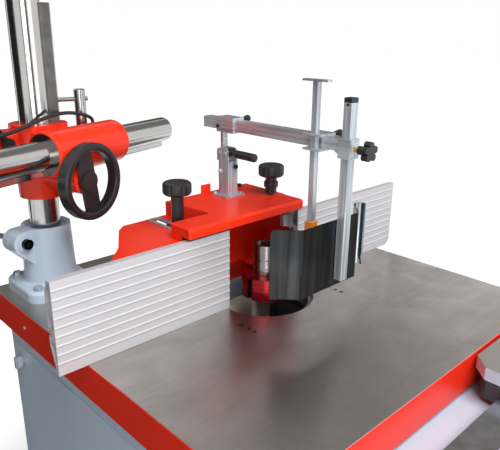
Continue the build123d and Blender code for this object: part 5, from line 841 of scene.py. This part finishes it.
# Feeder stand. An enamelled base casting bolted to the table carries a hard-chromed column with a
# milled rack; a red cross clamp on it holds the chromed arm, which the black handwheel runs in and out.
COLUMN = (-0.341, 0.373)
FLANGE_TOP = TABLE_TOP + 0.026
FLANGE_BOLT = 0.057
FLANGE_BOLTS = [
    ((COLUMN[0] + sx * FLANGE_BOLT, COLUMN[1] + sy * FLANGE_BOLT, FLANGE_TOP), (0, 0, 1))
    for sx in (-1, 1) for sy in (-1, 1)
]
FLANGE_BOLT_HEAD = (0.0092, 0.0058, 0.0012)
FLANGE_WASHER = (0.0115, 0.0020)
EAR_TURN = math.radians(190.0)
EAR_HEAD = (0.0710, 0.0373, 0.132)
EAR_SOCKET_HEAD = (0.0066, 0.0012, 0.0008)
EAR_SPLIT = 0.0268
ARM_ORIGIN = (-0.31473, 0.29216, TABLE_TOP + 0.333)
ARM_TURN = math.radians(18.0)
SLEEVE_END = -0.0605
SLEEVE_RING = 0.0435
RING_GREY = "#8a8784"
CHROME_WARM = "#c6c2be"
CHROME_COLD = "#bcbec0"
CHROME_CLOUD = 60.0
CHROME_GLOSS = (0.13, 0.21)
RACK_DARK = "#5a5856"
RACK_BRIGHT = "#8b8987"
RACK_OIL = 20.0
SAND_GRAIN = 4.0
CAST_CLOUD = 60.0

dress(enamel, "feeder_base")
screws(
    "flange_bolts", "machine", zinc, FLANGE_BOLTS,
    HEX_BOLT, FLANGE_BOLT_HEAD, FLANGE_WASHER,
)

# Pinch bolt: bright zinc lever, with a blackened socket head on the ear's front.
pinch, tree, shader, place = surface("zinc_and_black_bolt")
turned = {"Vector": place, "Location": (COLUMN[0], COLUMN[1], 0), "Rotation": (0, 0, EAR_TURN)}
turned = add(tree, "ShaderNodeMapping", turned, vector_type="TEXTURE")
across = add(tree, "ShaderNodeSeparateXYZ", {0: turned.outputs[0]}).outputs["Y"]
front = add(tree, "ShaderNodeMath", {0: across, 1: EAR_SPLIT}, operation="GREATER_THAN")
film = add(tree, "ShaderNodeTexNoise", {"Vector": place, "Scale": per_mm(ZINC_CLOUD), "Detail": 1.5})
shade = {0: film.outputs["Fac"], 6: linear(ZINC_COLD), 7: linear(ZINC_WARM)}
shade = add(tree, "ShaderNodeMix", shade, data_type="RGBA")
shade = {0: front.outputs[0], 6: shade.outputs[2], 7: linear(OXIDE_DARK)}
shade = add(tree, "ShaderNodeMix", shade, data_type="RGBA")
tree.links.new(shade.outputs[2], shader.inputs["Base Color"])
shader.inputs["Metallic"].default_value = 1.0
shader.inputs["Roughness"].default_value = 0.3
dress(pinch, "base_lever")
out_x, out_y = math.cos(EAR_TURN), math.sin(EAR_TURN)
socket_spot = (
    COLUMN[0] + EAR_HEAD[0] * out_x - EAR_HEAD[1] * out_y,
    COLUMN[1] + EAR_HEAD[0] * out_y + EAR_HEAD[1] * out_x,
    TABLE_TOP + EAR_HEAD[2],
)
screws(
    "pinch_socket", "base_lever", oxide, [(socket_spot, (-out_y, out_x, 0))],
    HEX_BOLT, EAR_SOCKET_HEAD,
)

# Hard chrome: bright, a little warm, with the haze that grinding leaves.
chrome, tree, shader, place = surface("hard_chrome")
haze = add(tree, "ShaderNodeTexNoise", {"Vector": place, "Scale": per_mm(CHROME_CLOUD), "Detail": 1.5})
shade = {0: haze.outputs["Fac"], 6: linear(CHROME_COLD), 7: linear(CHROME_WARM)}
shade = add(tree, "ShaderNodeMix", shade, data_type="RGBA")
tree.links.new(shade.outputs[2], shader.inputs["Base Color"])
shader.inputs["Metallic"].default_value = 1.0
gloss = {"Value": haze.outputs["Fac"], "To Min": CHROME_GLOSS[0], "To Max": CHROME_GLOSS[1]}
gloss = add(tree, "ShaderNodeMapRange", gloss)
tree.links.new(gloss.outputs["Result"], shader.inputs["Roughness"])
dress(chrome, "feeder_column", "feeder_arm")

# Milled rack steel: dark and oily.
rack, tree, shader, place = surface("milled_rack_steel")
oil = add(tree, "ShaderNodeTexNoise", {"Vector": place, "Scale": per_mm(RACK_OIL), "Detail": 2.0})
shade = {0: oil.outputs["Fac"], 6: linear(RACK_DARK), 7: linear(RACK_BRIGHT)}
shade = add(tree, "ShaderNodeMix", shade, data_type="RGBA")
tree.links.new(shade.outputs[2], shader.inputs["Base Color"])
shader.inputs["Metallic"].default_value = 1.0
shader.inputs["Roughness"].default_value = 0.3
dress(rack, "column_rack", "lift_pinion")

# Gloss paint on a sand casting: red over a pebbled skin, turned bare on the sleeve's end face.
cast_paint, tree, shader, place = surface("red_painted_casting")
cloud = add(tree, "ShaderNodeTexNoise", {"Vector": place, "Scale": per_mm(CAST_CLOUD), "Detail": 3.0})
shade = {0: cloud.outputs["Fac"], 6: linear(POWDER_DEEP), 7: linear(POWDER_RED)}
shade = add(tree, "ShaderNodeMix", shade, data_type="RGBA")
along = {"Vector": place, "Location": ARM_ORIGIN, "Rotation": (0, 0, ARM_TURN)}
along = add(tree, "ShaderNodeMapping", along, vector_type="TEXTURE")
at = add(tree, "ShaderNodeSeparateXYZ", {0: along.outputs[0]}).outputs
flat = add(tree, "ShaderNodeCombineXYZ", {"Y": at["Y"], "Z": at["Z"]})
reach = add(tree, "ShaderNodeVectorMath", {0: flat.outputs[0]}, operation="LENGTH")
within = add(tree, "ShaderNodeMath", {0: reach.outputs["Value"], 1: SLEEVE_RING}, operation="LESS_THAN")
end = add(tree, "ShaderNodeMath", {0: at["X"], 1: SLEEVE_END}, operation="LESS_THAN")
bare = add(tree, "ShaderNodeMath", {0: within.outputs[0], 1: end.outputs[0]}, operation="MULTIPLY")
shade = {0: bare.outputs[0], 6: shade.outputs[2], 7: linear(RING_GREY)}
shade = add(tree, "ShaderNodeMix", shade, data_type="RGBA")
tree.links.new(shade.outputs[2], shader.inputs["Base Color"])
tree.links.new(bare.outputs[0], shader.inputs["Metallic"])
shader.inputs["Roughness"].default_value = 0.22
shader.inputs["Specular IOR Level"].default_value = 0.4
sand = {"Vector": place, "Scale": per_mm(SAND_GRAIN), "Detail": 3.0, "Roughness": 0.6}
sand = add(tree, "ShaderNodeTexNoise", sand)
bump = add(tree, "ShaderNodeBump", {"Height": sand.outputs["Fac"], "Strength": 0.4, "Distance": 0.0008})
tree.links.new(bump.outputs[0], shader.inputs["Normal"])
dress(cast_paint, "cross_clamp")
dress(steel, "clamp_screw")
dress(moulding, "feeder_wheel", "column_lever")


# Feeder lead. A round rubber flex over the cross clamp: it rises behind the arm sleeve through a clip,
# crosses in front of the column and leaves to the left, with an in-line connector at each end.
LEAD_RADIUS = 0.004
LEAD_ROUNDING = 6
LEAD_STEPS = 12
LEAD_ROUTE = (
    (-0.196, 0.398, 0.310),
    (-0.196, 0.399, 0.338),
    (-0.197, 0.383, 0.370),
    (-0.216, 0.354, 0.388),
    (-0.254, 0.334, 0.402),
    (-0.300, 0.322, 0.409),
    (-0.345, 0.319, 0.401),
    (-0.394, 0.322, 0.383),
    (-0.436, 0.312, 0.375),
    (-0.478, 0.276, 0.381),
    (-0.520, 0.232, 0.384),
)

dress(rubber, "lead_ends")
route = bpy.data.curves.new("lead", "CURVE")
route.dimensions = "3D"
route.bevel_depth = LEAD_RADIUS
route.bevel_resolution = LEAD_ROUNDING
route.resolution_u = LEAD_STEPS
route.use_fill_caps = True
line = route.splines.new("NURBS")
line.points.add(len(LEAD_ROUTE) - 1)
for point, (x, y, z) in zip(line.points, LEAD_ROUTE):
    point.co = (x, y, z + TABLE_TOP, 1.0)
line.order_u = 3
line.use_endpoint_u = True
route.materials.append(rubber)
lead = bpy.data.objects.new("lead", route)
bpy.context.scene.collection.objects.link(lead)
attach(lead, "cross_clamp")
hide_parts("feeder_lead")
